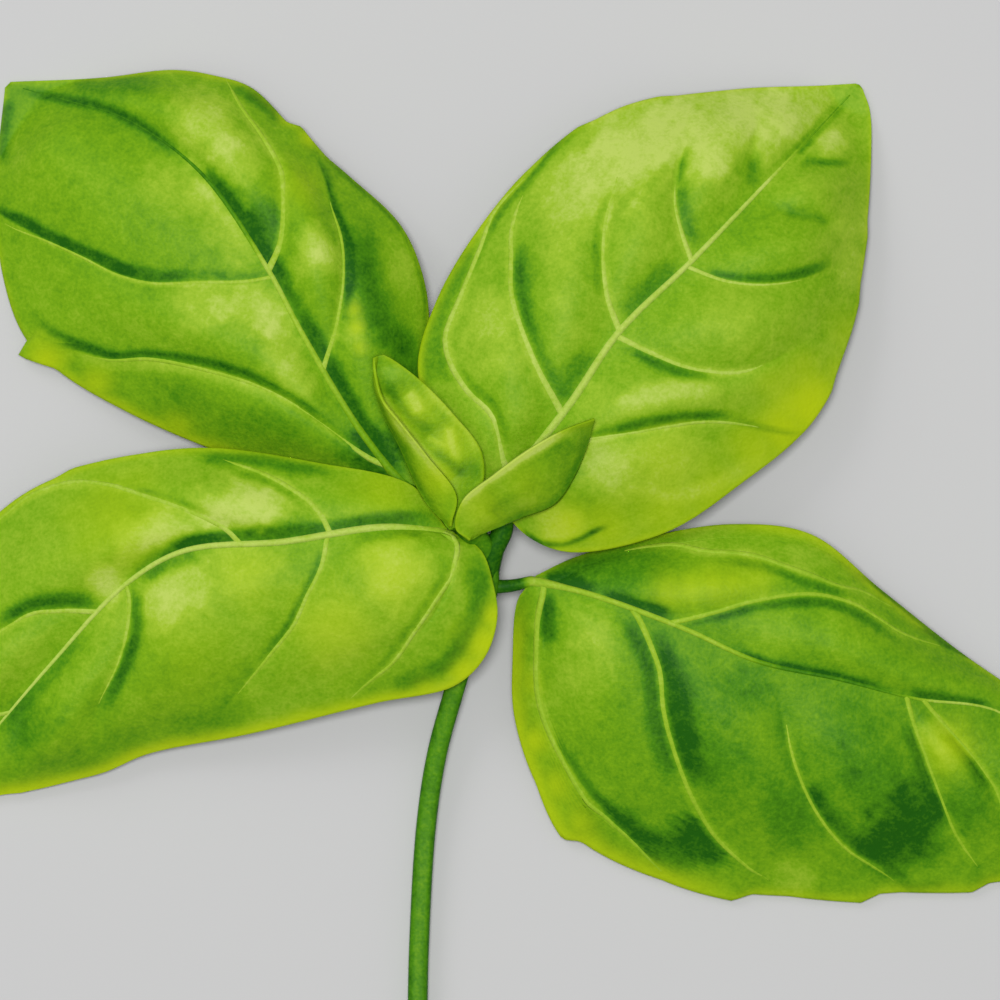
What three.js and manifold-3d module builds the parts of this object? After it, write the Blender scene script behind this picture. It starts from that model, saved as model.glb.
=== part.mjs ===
// Sprig of sweet basil, cut and laid face up on a flat surface.
// One square stem carries two pairs of broad leaves and, at its tip, a pair of folded young leaves.
// Millimetres. +Z is up out of the surface, +Y runs along the stem towards the growing tip.

import * as THREE from "three";
import { ConvexHull } from "three/addons/math/ConvexHull.js";
import { mergeVertices } from "three/addons/utils/BufferGeometryUtils.js";
import Module from "manifold-3d";

const wasm = await Module();
wasm.setup();

// Driving dimensions
const BLADE_THICKNESS = 0.7;
const YOUNG_BLADE_THICKNESS = 0.6;
const STEM_HALF_WIDTH = 1.2;
const STEM_NODE_SWELL = 0.25;
const STEM_NODE_REACH = 2.2;
const STEM_SQUARENESS = 4;
const PETIOLE_RADIUS = 0.9;
const PETIOLE_TIP_RADIUS = 0.55;
const YOUNG_PETIOLE_RADIUS = 0.5;
const PETIOLE_SUNK = [0, 0.06];
const MIDRIB_KEEL = 0.6;
const TOOTH_RISE = 0.09;
const TOOTH_DROP = 0.03;
const TIP_REST = [0.82, 0.94];
const STEEPEST = 0.35;
const FULL_WIDTH = 14;
const JOINT_GAP = 0.3;

// Centre of the sprig's outline seen from above: the points below are measured from the middle of
// the rosette, and the finished part stands with the bottom centre of its box at the origin.
const OUTLINE_CENTRE = new THREE.Vector3(0.85, -11.1, 0);

// Mesh fineness
const BLADE_ROW_STEP = 0.055;
const YOUNG_ROW_STEP = 0.08;
const BLADE_COLUMNS = [0, 0.1, 0.28, 0.46, 0.64, 0.8, 0.92, 1];
const YOUNG_COLUMNS = [0, 0.4, 0.7, 1];
const STEM_SIDES = 16;
const STEM_STEPS = 34;
const PETIOLE_SIDES = 8;
const PETIOLE_STEPS = 7;

// Each leaf is drawn by three curves from its base to its tip: the midrib and the two margins.
// A side vein leaves the midrib at the share "at" of its length. In the halves that have it, it meets
// the margin at the first number's share of the margin and bends towards the tip by the second.
// The petiole's points run from the middle of the stem towards the base.
// crown is how high each half of the blade bulges, quilt how high it swells between two side veins,
// and the teeth stand out from the margins at the given shares.
const LEAVES = [
  {
    name: "leaf_back_right",
    midrib: [
      [-0.5, 0.5, 9.6], [8.3, 11.5, 11.8], [14.3, 20.3, 12], [23, 28.8, 10.8],
      [32, 38.2, 7.4], [38, 44.5, 3.2], [43, 49.8, -2.5],
    ],
    left: [
      [-1.3, 0.8, 9.5], [-7.5, 8.5, 8.8], [-9.4, 16, 8.1], [-8.3, 24, 7.3], [-3.5, 32.5, 6.5],
      [4, 41, 5.4], [14, 47.4, 3.9], [28, 49.6, 2.2], [38, 50.1, 0.8], [42.6, 50.1, -2.5],
    ],
    right: [
      [-0.4, -0.4, 9.5], [3.5, -4.4, 9.2], [8.5, -6.2, 8.8], [20, -4, 7.9], [29, 1.5, 6.9],
      [38, 9, 5.5], [42.5, 20, 4.1], [44.5, 32, 2.7], [44.8, 43, 1.1], [43.5, 49.4, -2.5],
    ],
    veins: [
      { at: 0.09, left: [0.47, 3.6], right: [0.5, 0.85] },
      { at: 0.19, left: [0.54, 1.3] },
      { at: 0.37, left: [0.77, 1.4], right: [0.72, 1.7] },
      { at: 0.54, left: [0.86, 1.2], right: [0.81, 1.3] },
      { at: 0.74, left: [0.93, 1], right: [0.91, 1] },
    ],
    teeth: { left: [0.6, 0.72], right: [0.56, 0.69, 0.78] },
    petiole: [[-1.8, -6, 7.8], [-1.1, -3, 8.7]],
    crown: 2.6,
    quilt: 1.2,
    toothHeight: 0.3,
  },
  {
    name: "leaf_back_left",
    midrib: [
      [-12.5, 2.8, 7.6], [-17.5, 9.5, 8.8], [-24, 20.5, 9.8], [-28, 28, 9.7],
      [-36, 39.5, 7.8], [-45, 46, 4.6], [-52.5, 48.3, 1.8], [-58.8, 50, -2.5],
    ],
    left: [
      [-13.2, 2.1, 7.2], [-18, 1.6, 5.2], [-26, 3.4, 4], [-36, 6.7, 3.2], [-45, 10.7, 2.4],
      [-53, 15.2, 1.6], [-57.6, 20, 1], [-60, 28, 0.7], [-60.6, 38, 0.6], [-59.2, 49.7, -2.5],
    ],
    right: [
      [-11.9, 3.4, 7.5], [-11.6, 10, 6.9], [-9.6, 18.5, 6], [-9, 26, 5.4], [-11.5, 33, 4.8],
      [-18, 39.4, 4.1], [-24.3, 44.3, 3.4], [-31, 49.7, 2.5], [-38, 51.8, 1.6], [-48, 50.9, 0.8],
      [-58.4, 50.4, -2.5],
    ],
    veins: [
      { at: 0.06, left: [0.69, 1.1] },
      { at: 0.23, right: [0.57, 1.4] },
      { at: 0.4, left: [0.83, 1.2], right: [0.72, 1.5] },
    ],
    teeth: { left: [0.575], right: [0.56] },
    petiole: [[-2.2, -5.2, 8], [-5.5, -2.9, 7.4], [-9, 0, 7.2]],
    crown: 2.8,
    quilt: 1.4,
    toothHeight: 1,
  },
  {
    name: "leaf_front_left",
    midrib: [
      [-6.2, -3.9, 10], [-14, -3.2, 11.6], [-26, -4.9, 12], [-38, -6, 10.6],
      [-45, -10, 9], [-54, -19.5, 5.8], [-63, -30, 2.3], [-72, -41, -2.5],
    ],
    left: [
      [-5.5, -3.9, 10.1], [-2.3, -5.9, 10.5], [-0.8, -10, 10.2], [-0.3, -14, 9.6], [-1.8, -18.8, 8.6],
      [-5.5, -22.3, 7.5], [-15, -24.1, 6.3], [-30, -28, 4], [-45, -31.7, 1.9], [-58, -34.9, 0.7],
      [-66, -37.6, 0.2], [-71.6, -41.5, -2.5],
    ],
    right: [
      [-6.4, -3.3, 9.8], [-10.5, 1.8, 9.6], [-22, 4.6, 9], [-36, 6.4, 7.6], [-48, 4.6, 5.9],
      [-58, 0.5, 4.1], [-66, -7.5, 2.6], [-71, -17, 1.5], [-73.6, -29, 0.6], [-72.5, -40.6, -2.5],
    ],
    veins: [
      { at: 0.05, left: [0.45, 3] },
      { at: 0.18, left: [0.64, 1.4], right: [0.38, 3.2] },
      { at: 0.33, right: [0.62, 2.8] },
      { at: 0.475, left: [0.85, 1.25] },
      { at: 0.56, right: [0.85, 1.3] },
      { at: 0.72, left: [0.94, 1.2], right: [0.94, 1.2] },
    ],
    teeth: { left: [0.71, 0.83], right: [0.47, 0.72, 0.84] },
    petiole: [[-1.6, -9.5, 6.6], [-3.5, -7, 8.2]],
    crown: 2.4,
    quilt: 1.2,
    toothHeight: 0.4,
  },
  {
    name: "leaf_front_right",
    midrib: [
      [4, -9.6, 7.2], [11, -11.3, 8.6], [22, -15.3, 9.8], [31, -19.3, 9.5], [41, -21.5, 8.5],
      [50, -23.8, 6.8], [60, -25.4, 4.4], [68, -31.6, 1.8], [75, -38.3, -2.5],
    ],
    left: [
      [4.3, -9, 7], [9, -5.8, 6], [18, -3.2, 5.3], [30, -2.7, 4.9], [38, -4.1, 4.5],
      [46, -10.5, 3.8], [55, -17.6, 2.7], [65, -25, 1.5], [71.5, -31.5, 0.5], [75.4, -38, -2.5],
    ],
    right: [
      [3.4, -10.1, 7], [2.2, -12, 6], [1.5, -19, 4.2], [1.9, -26, 2.7], [4.5, -34.5, 1.5],
      [9, -40.6, 0.9], [20, -46, 0.5], [34, -47.8, 0.4], [48, -47.4, 0.4], [60, -46, 0.4],
      [69, -43.4, 0.2], [74.8, -38.7, -2.5],
    ],
    veins: [
      { at: 0.045, left: [0.68, 3], right: [0.51, 4] },
      { at: 0.15, right: [0.58, 1] },
      { at: 0.26, left: [0.8, 1.9] },
      { at: 0.385, right: [0.725, 1.1] },
      { at: 0.6, left: [0.88, 1.2], right: [0.835, 0.9] },
      { at: 0.7, right: [0.94, 1] },
    ],
    teeth: { left: [], right: [0.335, 0.53, 0.675, 0.81, 0.9] },
    petiole: [[-1.6, -10.4, 6.4], [1.5, -10.2, 6.7]],
    crown: 2.4,
    quilt: 1.2,
    toothHeight: 1,
  },
];

// The young leaves are still folded along the midrib, one half laid over the other.
const YOUNG_VEINS = [
  { at: 0.2, left: [0.36, 1.2], right: [0.36, 1.2] },
  { at: 0.45, left: [0.6, 1.2], right: [0.6, 1.2] },
  { at: 0.7, left: [0.8, 1.2], right: [0.8, 1.2] },
];
const YOUNG_LEAVES = [
  {
    name: "young_leaf_left",
    midrib: [
      [-6, -3.2, 12.2], [-9.2, 0.4, 12.5], [-12, 6.5, 13.1], [-14.2, 11, 14],
      [-15.1, 14.5, 15], [-14.6, 17.4, 15.9],
    ],
    left: [
      [-5.9, -3.1, 13.5], [-5.2, 0.6, 14.9], [-8.6, 5.2, 16.2], [-11.8, 9.2, 17], [-14, 12, 17.1],
      [-14.9, 15, 16.7], [-15.2, 17.1, 16.3],
    ],
    right: [
      [-4.9, -3.2, 12.2], [-2.2, 1.5, 12.4], [-2.2, 5.8, 13], [-5.5, 10.3, 14], [-9.5, 14.4, 15],
      [-12.8, 16.9, 15.7], [-13.9, 17.5, 15.9],
    ],
    veins: YOUNG_VEINS,
    teeth: { left: [], right: [] },
    petiole: [[-4.5, -3, 10.6], [-5.5, -3.1, 11.4]],
    crown: 0.5,
    quilt: 0.3,
    toothHeight: 0,
    folded: true,
  },
  {
    name: "young_leaf_right",
    midrib: [
      [-3.5, -4.4, 13.2], [2.5, -2, 13.3], [6.6, -0.3, 13.5],
      [8.8, 2.8, 13.8], [10.3, 6.4, 14.6], [11.1, 9.2, 15.4],
    ],
    left: [
      [-4.3, -3.5, 13.3], [-3.2, -1.2, 13.4], [-0.6, 2.2, 13.4], [3.5, 4.7, 13.5],
      [7.8, 7.1, 14], [10.1, 9.2, 15.2],
    ],
    right: [
      [-3.6, -4.7, 14.5], [-5.3, -3.4, 15.1], [-4.6, 0.3, 16.6], [-1.2, 3.6, 18.1], [3.2, 6.4, 18.8],
      [7.5, 8.4, 18.4], [11.3, 9.8, 16.4],
    ],
    veins: YOUNG_VEINS,
    teeth: { left: [], right: [] },
    petiole: [[-3.6, -3.8, 11], [-4.1, -4.3, 12.3]],
    crown: 0.5,
    quilt: 0.3,
    toothHeight: 0,
    folded: true,
  },
];

// Middle of the stem, from its cut end to its tip. It lies on the surface up to where the leaves lift it.
const STEM_PATH = [
  [-10, -74, 1.2], [-9.9, -66, 1.2], [-9.6, -54, 1.25], [-8.8, -39, 1.6], [-7.6, -30.5, 2.5],
  [-5.4, -23.5, 3.6], [-3.2, -17, 4.8], [-1.9, -12, 5.9], [-1.5, -8.6, 6.8], [-1.9, -6.2, 7.8],
  [-2.8, -4.5, 9.2], [-4, -3.4, 11],
];
const STEM_NODE_PLACES = [-10, -5.6];

// Materials, one colour for each kind of tissue
const tissue = (name, color, roughness) =>
  new THREE.MeshStandardMaterial({ name, color, roughness, metalness: 0 });
const LEAF_GREEN = tissue("leaf", 0x7fb022, 0.5);
const YOUNG_LEAF_GREEN = tissue("young_leaf", 0x93bd2c, 0.5);
const STEM_GREEN = tissue("stem", 0x4f8a20, 0.55);

const mix = (a, b, share) => a + (b - a) * share;

// Smooth curve through hand-placed points
function curveThrough(points) {
  const curve = new THREE.CatmullRomCurve3(points.map((p) => new THREE.Vector3(...p)), false, "centripetal");
  curve.arcLengthDivisions = 400;
  return curve;
}

// A closed geometry as a solid that can be joined and cut
function solidOf(geometry) {
  const bare = new THREE.BufferGeometry();
  bare.setAttribute("position", geometry.getAttribute("position"));
  bare.setIndex(geometry.getIndex());
  const merged = mergeVertices(bare, 1e-4);
  return new wasm.Manifold(
    new wasm.Mesh({
      numProp: 3,
      vertProperties: new Float32Array(merged.attributes.position.array),
      triVerts: new Uint32Array(merged.index.array),
    }),
  );
}

// A solid back as a geometry, leaving out any loose scrap that a cut made
function geometryOf(solid) {
  const whole = solid.decompose().reduce((a, b) => (a.volume() > b.volume() ? a : b));
  const mesh = whole.getMesh();
  const geometry = new THREE.BufferGeometry();
  geometry.setAttribute("position", new THREE.BufferAttribute(new Float32Array(mesh.vertProperties), 3));
  geometry.setIndex(new THREE.BufferAttribute(new Uint32Array(mesh.triVerts), 1));
  geometry.computeVertexNormals();
  return geometry;
}

// A stalk: a closed turned rod bent along a curve, its section given by a radius at each share of
// the length and each angle round it. Angle 0 is level, a quarter turn is up.
function stalkGeometry(curve, radiusAt, sides, steps) {
  const profile = [new THREE.Vector2(0, 0)];
  for (let i = 0; i <= steps; i++) profile.push(new THREE.Vector2(1, i / steps));
  profile.push(new THREE.Vector2(0, 1));
  const rod = new THREE.LatheGeometry(profile, sides);
  const places = rod.getAttribute("position");
  const up = new THREE.Vector3(0, 0, 1);
  for (let i = 0; i < places.count; i++) {
    const share = places.getY(i);
    const angle = Math.atan2(places.getZ(i), places.getX(i));
    const onAxis = Math.hypot(places.getX(i), places.getZ(i)) < 0.5;
    const tangent = curve.getTangentAt(share);
    const level = new THREE.Vector3().crossVectors(tangent, up).normalize();
    const above = new THREE.Vector3().crossVectors(level, tangent);
    const radius = onAxis ? 0 : radiusAt(share, angle);
    const point = curve
      .getPointAt(share)
      .addScaledVector(level, radius * Math.cos(angle))
      .addScaledVector(above, radius * Math.sin(angle));
    places.setXYZ(i, point.x, point.y, Math.max(point.z, 0));
  }
  return rod;
}

// How far along its leaf a vein has run where it lies at the share w of the half's width
const trackAt = (at, [end, bend], w) => mix(at, end, w ** bend);

// Where a row that leaves the midrib at the share "at" lies in one half: between which two veins, and how
// far from the first of them, from 0 to 1. The base and the tip count as veins.
function cellOf(leaf, side, at) {
  const inner = leaf.veins.filter((vein) => vein[side]);
  const lines = [{ at: 0, [side]: [0, 1] }, ...inner, { at: 1, [side]: [1, 1] }];
  const next = Math.max(1, lines.findIndex((line) => line.at >= at));
  const [before, after] = [lines[next - 1], lines[next]];
  const share = (at - before.at) / (after.at - before.at);
  const alongAt = (w) => mix(trackAt(before.at, before[side], w), trackAt(after.at, after[side], w), share);
  return { share, alongAt };
}

// Where the rows of a blade leave the midrib: at each vein, and evenly spread between two of them
function rowPlaces(veins, step) {
  const ends = (vein) => [vein.left, vein.right].map((half) => half?.[0] ?? 0);
  const inner = veins.map((vein) => ({ at: vein.at, reach: Math.max(...ends(vein)) }));
  const stops = [{ at: 0, reach: 0 }, ...inner, { at: 1, reach: 1 }];
  const places = stops.slice(1).flatMap((to, i) => {
    const from = stops[i];
    const count = Math.ceil(Math.max(to.at - from.at, to.reach - from.reach) / step);
    return Array.from({ length: count }, (_, k) => mix(from.at, to.at, k / count));
  });
  return [...places, 1];
}

// A margin tooth swells slowly towards the leaf's tip and drops off quickly
function toothShape(along, teeth) {
  return teeth.reduce((sum, peak) => {
    const rise = 1 - (peak - along) / TOOTH_RISE;
    const drop = 1 - (along - peak) / TOOTH_DROP;
    return sum + Math.max(0, Math.min(rise, drop));
  }, 0);
}

// Middle surface of a blade: rows run along the side veins, columns from the left margin over the
// midrib to the right margin. A blade bulges less where a half of it is narrow. Towards the tip it
// flattens out and lies on the surface.
function bladeSurface(leaf, columns, rowStep, thickness) {
  const midrib = curveThrough(leaf.midrib);
  const margins = { left: curveThrough(leaf.left), right: curveThrough(leaf.right) };
  const blisterPoint = (at, side, w) => {
    const { share, alongAt } = cellOf(leaf, side, at);
    const along = alongAt(w);
    const middle = midrib.getPointAt(along);
    const edge = margins[side].getPointAt(along);
    const outward = new THREE.Vector3(edge.x - middle.x, edge.y - middle.y, 0);
    const fullness = leaf.folded ? 1 : Math.min(1, outward.length() / FULL_WIDTH);
    outward.normalize();
    const point = middle.clone().lerp(edge, w);
    const tipRest = 1 - THREE.MathUtils.smoothstep(along, ...TIP_REST);
    const taper = Math.sqrt(Math.max(0, 4 * along * (1 - along))) * tipRest * fullness;
    const swell = Math.max(0, Math.sin(Math.PI * share)) ** 0.7 * THREE.MathUtils.smoothstep(w, 0, 0.3);
    point.z += taper * (leaf.crown * Math.sin(Math.PI * w) + leaf.quilt * swell);
    point.addScaledVector(outward, leaf.toothHeight * toothShape(along, leaf.teeth[side]) * w ** 6);
    point.z = Math.max(point.z, thickness / 2);
    return { point, along };
  };
  const rows = rowPlaces(leaf.veins, rowStep);
  const places = rows.flatMap((at) => [
    ...columns.slice(1).reverse().map((w) => blisterPoint(at, "left", w)),
    ...columns.map((w) => blisterPoint(at, "right", w)),
  ]);
  return { points: places.map((p) => p.point), alongs: places.map((p) => p.along), rows: rows.length - 1 };
}

// Directions square to a middle surface. At the midrib they halve the angle between the two halves.
function squareTo(points, half, rows) {
  const wide = 2 * half + 1;
  const normals = [0, half].map((first) => {
    const sheet = new THREE.PlaneGeometry(1, 1, half, rows);
    const own = points.filter((_, i) => i % wide >= first && i % wide <= first + half);
    sheet.setAttribute("position", new THREE.Float32BufferAttribute(own.flatMap((p) => p.toArray()), 3));
    sheet.computeVertexNormals();
    return sheet.getAttribute("normal");
  });
  return points.map((_, i) => {
    const row = Math.floor(i / wide);
    const column = i % wide;
    const square = new THREE.Vector3();
    if (column <= half)
      square.sub(new THREE.Vector3().fromBufferAttribute(normals[0], row * (half + 1) + column));
    if (column >= half)
      square.sub(new THREE.Vector3().fromBufferAttribute(normals[1], row * (half + 1) + column - half));
    return square.normalize();
  });
}

// Whether a place lies inside a closed outline, seen from above
function isInside(outline, x, y) {
  let inside = false;
  outline.forEach((to, i) => {
    const from = outline.at(i - 1);
    const reach = from.x + ((y - from.y) / (to.y - from.y)) * (to.x - from.x);
    if (from.y > y !== to.y > y && x < reach) inside = !inside;
  });
  return inside;
}

// Triangles of a folded blade, row by row
function rowTriangles(wide, rows) {
  const cells = new THREE.PlaneGeometry(1, 1, wide - 1, rows).getIndex().array;
  const triangles = [];
  for (let i = 0; i < cells.length; i += 3) triangles.push([cells[i], cells[i + 2], cells[i + 1]]);
  return triangles;
}

// Triangles of an open blade, as even as its points allow when seen from above. They are the lower
// faces of the hull round the points laid on a round bowl.
function evenTriangles(points, wide, rows) {
  const bowl = points.map((p) => new THREE.Vector3(p.x, p.y, p.x ** 2 + p.y ** 2));
  const numbers = new Map(bowl.map((place, i) => [place, i]));
  const row = (r) => points.slice(r * wide, (r + 1) * wide);
  const margin = (column) => points.filter((_, i) => i % wide === column).slice(1, -1);
  const outline = [...margin(0), ...row(rows), ...margin(wide - 1).reverse(), ...row(0).reverse()];
  const triangles = [];
  for (const face of new ConvexHull().setFromPoints(bowl).faces) {
    const edges = [face.edge, face.edge.next, face.edge.prev];
    const [a, b, c] = edges.map((edge) => numbers.get(edge.head().point));
    const x = (points[a].x + points[b].x + points[c].x) / 3;
    const y = (points[a].y + points[b].y + points[c].y) / 3;
    if (face.normal.z < 0 && isInside(outline, x, y)) triangles.push([a, c, b]);
  }
  return triangles;
}

// A blade with its keel along the midrib, split into triangles alike on both faces. An open blade is
// thickened straight up and down, more where it is steep, and a folded one square to its surface.
function bladeGeometry(leaf, columns, rowStep, thickness) {
  const { points, alongs, rows } = bladeSurface(leaf, columns, rowStep, thickness);
  const half = columns.length - 1;
  const wide = 2 * half + 1;
  const squares = squareTo(points, half, rows);
  const places = [];
  for (const [sign, keel] of [[1, 0], [-1, MIDRIB_KEEL]])
    points.forEach((point, i) => {
      const onMidrib = i % wide === half;
      const depth = thickness / 2 + (onMidrib ? keel * thickness * (1 - alongs[i]) : 0);
      const upright = new THREE.Vector3(0, 0, 1 / Math.max(squares[i].z, STEEPEST));
      const place = point.clone().addScaledVector(leaf.folded ? squares[i] : upright, sign * depth);
      places.push(place.x, place.y, Math.max(place.z, sign > 0 ? thickness : 0));
    });

  const count = points.length;
  const triangles = leaf.folded ? rowTriangles(wide, rows) : evenTriangles(points, wide, rows);
  const sides = triangles.flatMap(([a, b, c]) => [[a, b], [b, c], [c, a]]);
  const paired = new Set(sides.map(([a, b]) => b * count + a));
  const index = triangles.flatMap(([a, b, c]) => [a, b, c, a + count, c + count, b + count]);
  for (const [a, b] of sides)
    if (!paired.has(a * count + b)) index.push(b, a, a + count, b, a + count, b + count);
  const blade = new THREE.BufferGeometry();
  blade.setAttribute("position", new THREE.Float32BufferAttribute(places, 3));
  blade.setIndex(index);
  return blade;
}

// The stem's section is a square with well rounded corners, a little thicker where leaves grow
function stemGeometry(extra) {
  const path = STEM_PATH.map((p) => new THREE.Vector3(...p));
  const [beforeTip, tip] = path.slice(-2);
  tip.addScaledVector(tip.clone().sub(beforeTip).normalize(), extra);
  const curve = curveThrough(path);
  const radiusAt = (share, angle) => {
    const y = curve.getPointAt(share).y;
    const swell = STEM_NODE_PLACES.reduce(
      (sum, place) => sum + STEM_NODE_SWELL * Math.exp(-(((y - place) / STEM_NODE_REACH) ** 2)),
      0,
    );
    const across = Math.abs(Math.cos(angle)) ** STEM_SQUARENESS;
    const upward = Math.abs(Math.sin(angle)) ** STEM_SQUARENESS;
    return (STEM_HALF_WIDTH + swell) / (across + upward) ** (1 / STEM_SQUARENESS) + extra;
  };
  return stalkGeometry(curve, radiusAt, STEM_SIDES, STEM_STEPS);
}

// A leaf is its blade and its petiole in one piece, cut back from the stem that it grows on
function leafGeometry(leaf, columns, rowStep, thickness, petioleRadius) {
  const midrib = curveThrough(leaf.midrib);
  const sunk = PETIOLE_SUNK.map((share) => midrib.getPointAt(share).toArray());
  const petiole = stalkGeometry(
    curveThrough([...leaf.petiole, ...sunk]),
    (share) => mix(petioleRadius, PETIOLE_TIP_RADIUS, share),
    PETIOLE_SIDES,
    PETIOLE_STEPS,
  );
  const blade = solidOf(bladeGeometry(leaf, columns, rowStep, thickness));
  return geometryOf(blade.add(solidOf(petiole)).subtract(solidOf(stemGeometry(JOINT_GAP))));
}

const sprig = new THREE.Group();
sprig.position.copy(OUTLINE_CENTRE).negate();

function place(name, geometry, material) {
  const mesh = new THREE.Mesh(geometry, material);
  mesh.name = name;
  sprig.add(mesh);
}

place("stem", geometryOf(solidOf(stemGeometry(0))), STEM_GREEN);
for (const leaf of LEAVES)
  place(
    leaf.name,
    leafGeometry(leaf, BLADE_COLUMNS, BLADE_ROW_STEP, BLADE_THICKNESS, PETIOLE_RADIUS),
    LEAF_GREEN,
  );
for (const leaf of YOUNG_LEAVES)
  place(
    leaf.name,
    leafGeometry(leaf, YOUNG_COLUMNS, YOUNG_ROW_STEP, YOUNG_BLADE_THICKNESS, YOUNG_PETIOLE_RADIUS),
    YOUNG_LEAF_GREEN,
  );

const basilSprig = new THREE.Group();
basilSprig.name = "basil_sprig";
basilSprig.add(sprig);

export default basilSprig;
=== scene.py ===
import math

import bmesh
import bpy
import numpy as np
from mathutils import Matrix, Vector


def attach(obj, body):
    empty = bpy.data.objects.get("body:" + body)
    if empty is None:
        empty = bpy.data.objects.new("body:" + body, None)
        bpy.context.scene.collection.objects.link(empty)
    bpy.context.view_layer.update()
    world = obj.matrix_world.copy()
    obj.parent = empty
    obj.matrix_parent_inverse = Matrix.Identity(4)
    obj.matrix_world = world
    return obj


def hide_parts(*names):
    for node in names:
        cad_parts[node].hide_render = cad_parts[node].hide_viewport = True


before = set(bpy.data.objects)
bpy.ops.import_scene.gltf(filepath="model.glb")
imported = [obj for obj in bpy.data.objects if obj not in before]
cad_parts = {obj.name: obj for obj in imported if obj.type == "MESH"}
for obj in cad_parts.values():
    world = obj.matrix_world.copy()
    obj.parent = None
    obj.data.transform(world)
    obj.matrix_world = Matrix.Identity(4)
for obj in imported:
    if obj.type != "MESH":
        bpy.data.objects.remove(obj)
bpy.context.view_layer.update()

# A sprig of sweet basil lying face up. Tables are in millimetres, from the middle of the rosette; CENTRE is
# the middle of the sprig's outline, which stands over the origin.
scene = bpy.context.scene
CENTRE = np.array((0.85, -11.1, 0.0))
MM = 0.001
LEFT, RIGHT, MIDDLE = 0, 1, 2
# Marks on a piece's corners: tone, its green with painted shade and highlights; rim, its yellow; under, its
# under face
MARKS = ("Tone", "Rim", "Under")

# Fineness: share of a leaf between two rows, cells from midrib to margin, points along the rods and round
# them, steps of curves and brushed lines, and the cells in which a vein is traced
ROW_STEP = 0.0085
COLUMNS = 80
RIB_POINTS = 110
STEM_POINTS = 190
STALK_POINTS = 22
STEM_SIDES, STALK_SIDES, RIB_SIDES, UNDER_SIDES = 32, 12, 10, 8
CURVE_STEPS = 400
BRUSH_STEPS, BRUSH_POINTS = 120, 110
TRACE_ROWS, TRACE_COLUMNS = 301, 151

# Blade: thickness, width of a half that arches fully, shares of the leaf where the arch dies out, shares of
# the way to the margin where the swell between two veins rises and falls
BLADE, YOUNG_BLADE = 0.5, 0.34
FULL_WIDTH = 14.0
FLAT_TIP = (0.82, 0.94)
SWELL_RISE, SWELL_FALL = (0, 0.3), (0.4, 0.85)

# Limits: least upward part of a direction square to a blade, step to find directions by, least length
STEEPEST = 0.35
NUDGE = 0.01
TINY = 1e-9

# Creases over the veins: least step outwards, most slant, points evened out, and least room between two
LEAST_STEP = 0.02
MOST_SLANT = 2.8
EVENED = 9
LEAST_ROOM = 0.003

# Teeth: lean towards the tip, share of the margin that they fall over, and how close to it they keep
TOOTH_LEAN = 0.8
TOOTH_FALL = 0.026
TOOTH_KEEP = 6

# Ribs of side veins: half width by the vein's width, share of it lost by the end, height by half width,
# share of that sunk in the blade, tone lost by the end, and where along the vein a rib rises and sinks
RIB_WIDTH = 0.66
RIB_TAPER = 0.45
RIB_HEIGHT = 0.5
RIB_SUNK = 0.4
RIB_FADE = 0.1
RIB_RISE, RIB_SINK = (-0.1, 0.2), (0.75, 1)

# Midrib: shares of the leaf where its rib starts and ends, rise by half the blade's thickness, taper, the
# stalk's own taper, and shares of the leaf over which the stalk's size and tone turn into the rib's
MIDRIB_START, MIDRIB_END, YOUNG_MIDRIB_END = 0.015, 0.97, 0.2
MIDRIB_RISE, MIDRIB_UP = 0.6, (0, 0.08)
MIDRIB_TAPER = 0.4
STALK_TAPER = 0.3
SIZE_TURN, TONE_TURN = (0, 0.06), (-0.25, 0.05)

# Ribs on the under face: the midrib's radius by its width, where it ends, comes and goes; tone; under green
UNDER_RIB = 0.5
UNDER_END = 0.86
UNDER_RISE, UNDER_FALL = (0, 0.12), (0.1, UNDER_END + 0.05)
UNDER_TONE = 1.0
UNDER_SHARE = 0.45

# Brush: the pale band along a vein; how near to a vein a dark stroke of painted shade stops at it, and how
# it fills the way; a stroke's reach, start and end; how crisp strokes and patches end; the painted
# highlight on the swell between two veins; yellow edges
BAND_TONE, BAND_WIDTH = 0.6, 0.8
BESIDE, ONE_SIDED, BESIDE_FILL = 1.9, 0.8, 0.3
VEIN_EDGE = (-0.1, 0.3)
STROKE_REACH = 2.5
STROKE_START, STROKE_END = (-0.04, 0.16), (0.74, 1.02)
STROKE_CRISP, PATCH_CRISP = 1.3, 1.8
SWELL_HIGHLIGHT, LEAST_TONE = 0.06, 0.02
EDGE_YELLOW, EDGE_WIDTH = 0.3, 0.5
RIM_START, RIM_STOP = 0.04, 0.05

# Uneven edges of the brush, as waves of (height, turns along x, turns along y, start)
ROUGH = ((0.14, 1.1, 0.5, 0), (0.14, -0.7, 1.3, 2))
RAGGED = ((0.12, 2.9, -1.7, 0), (0.1, 2.3, 3.1, 1))
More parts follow.
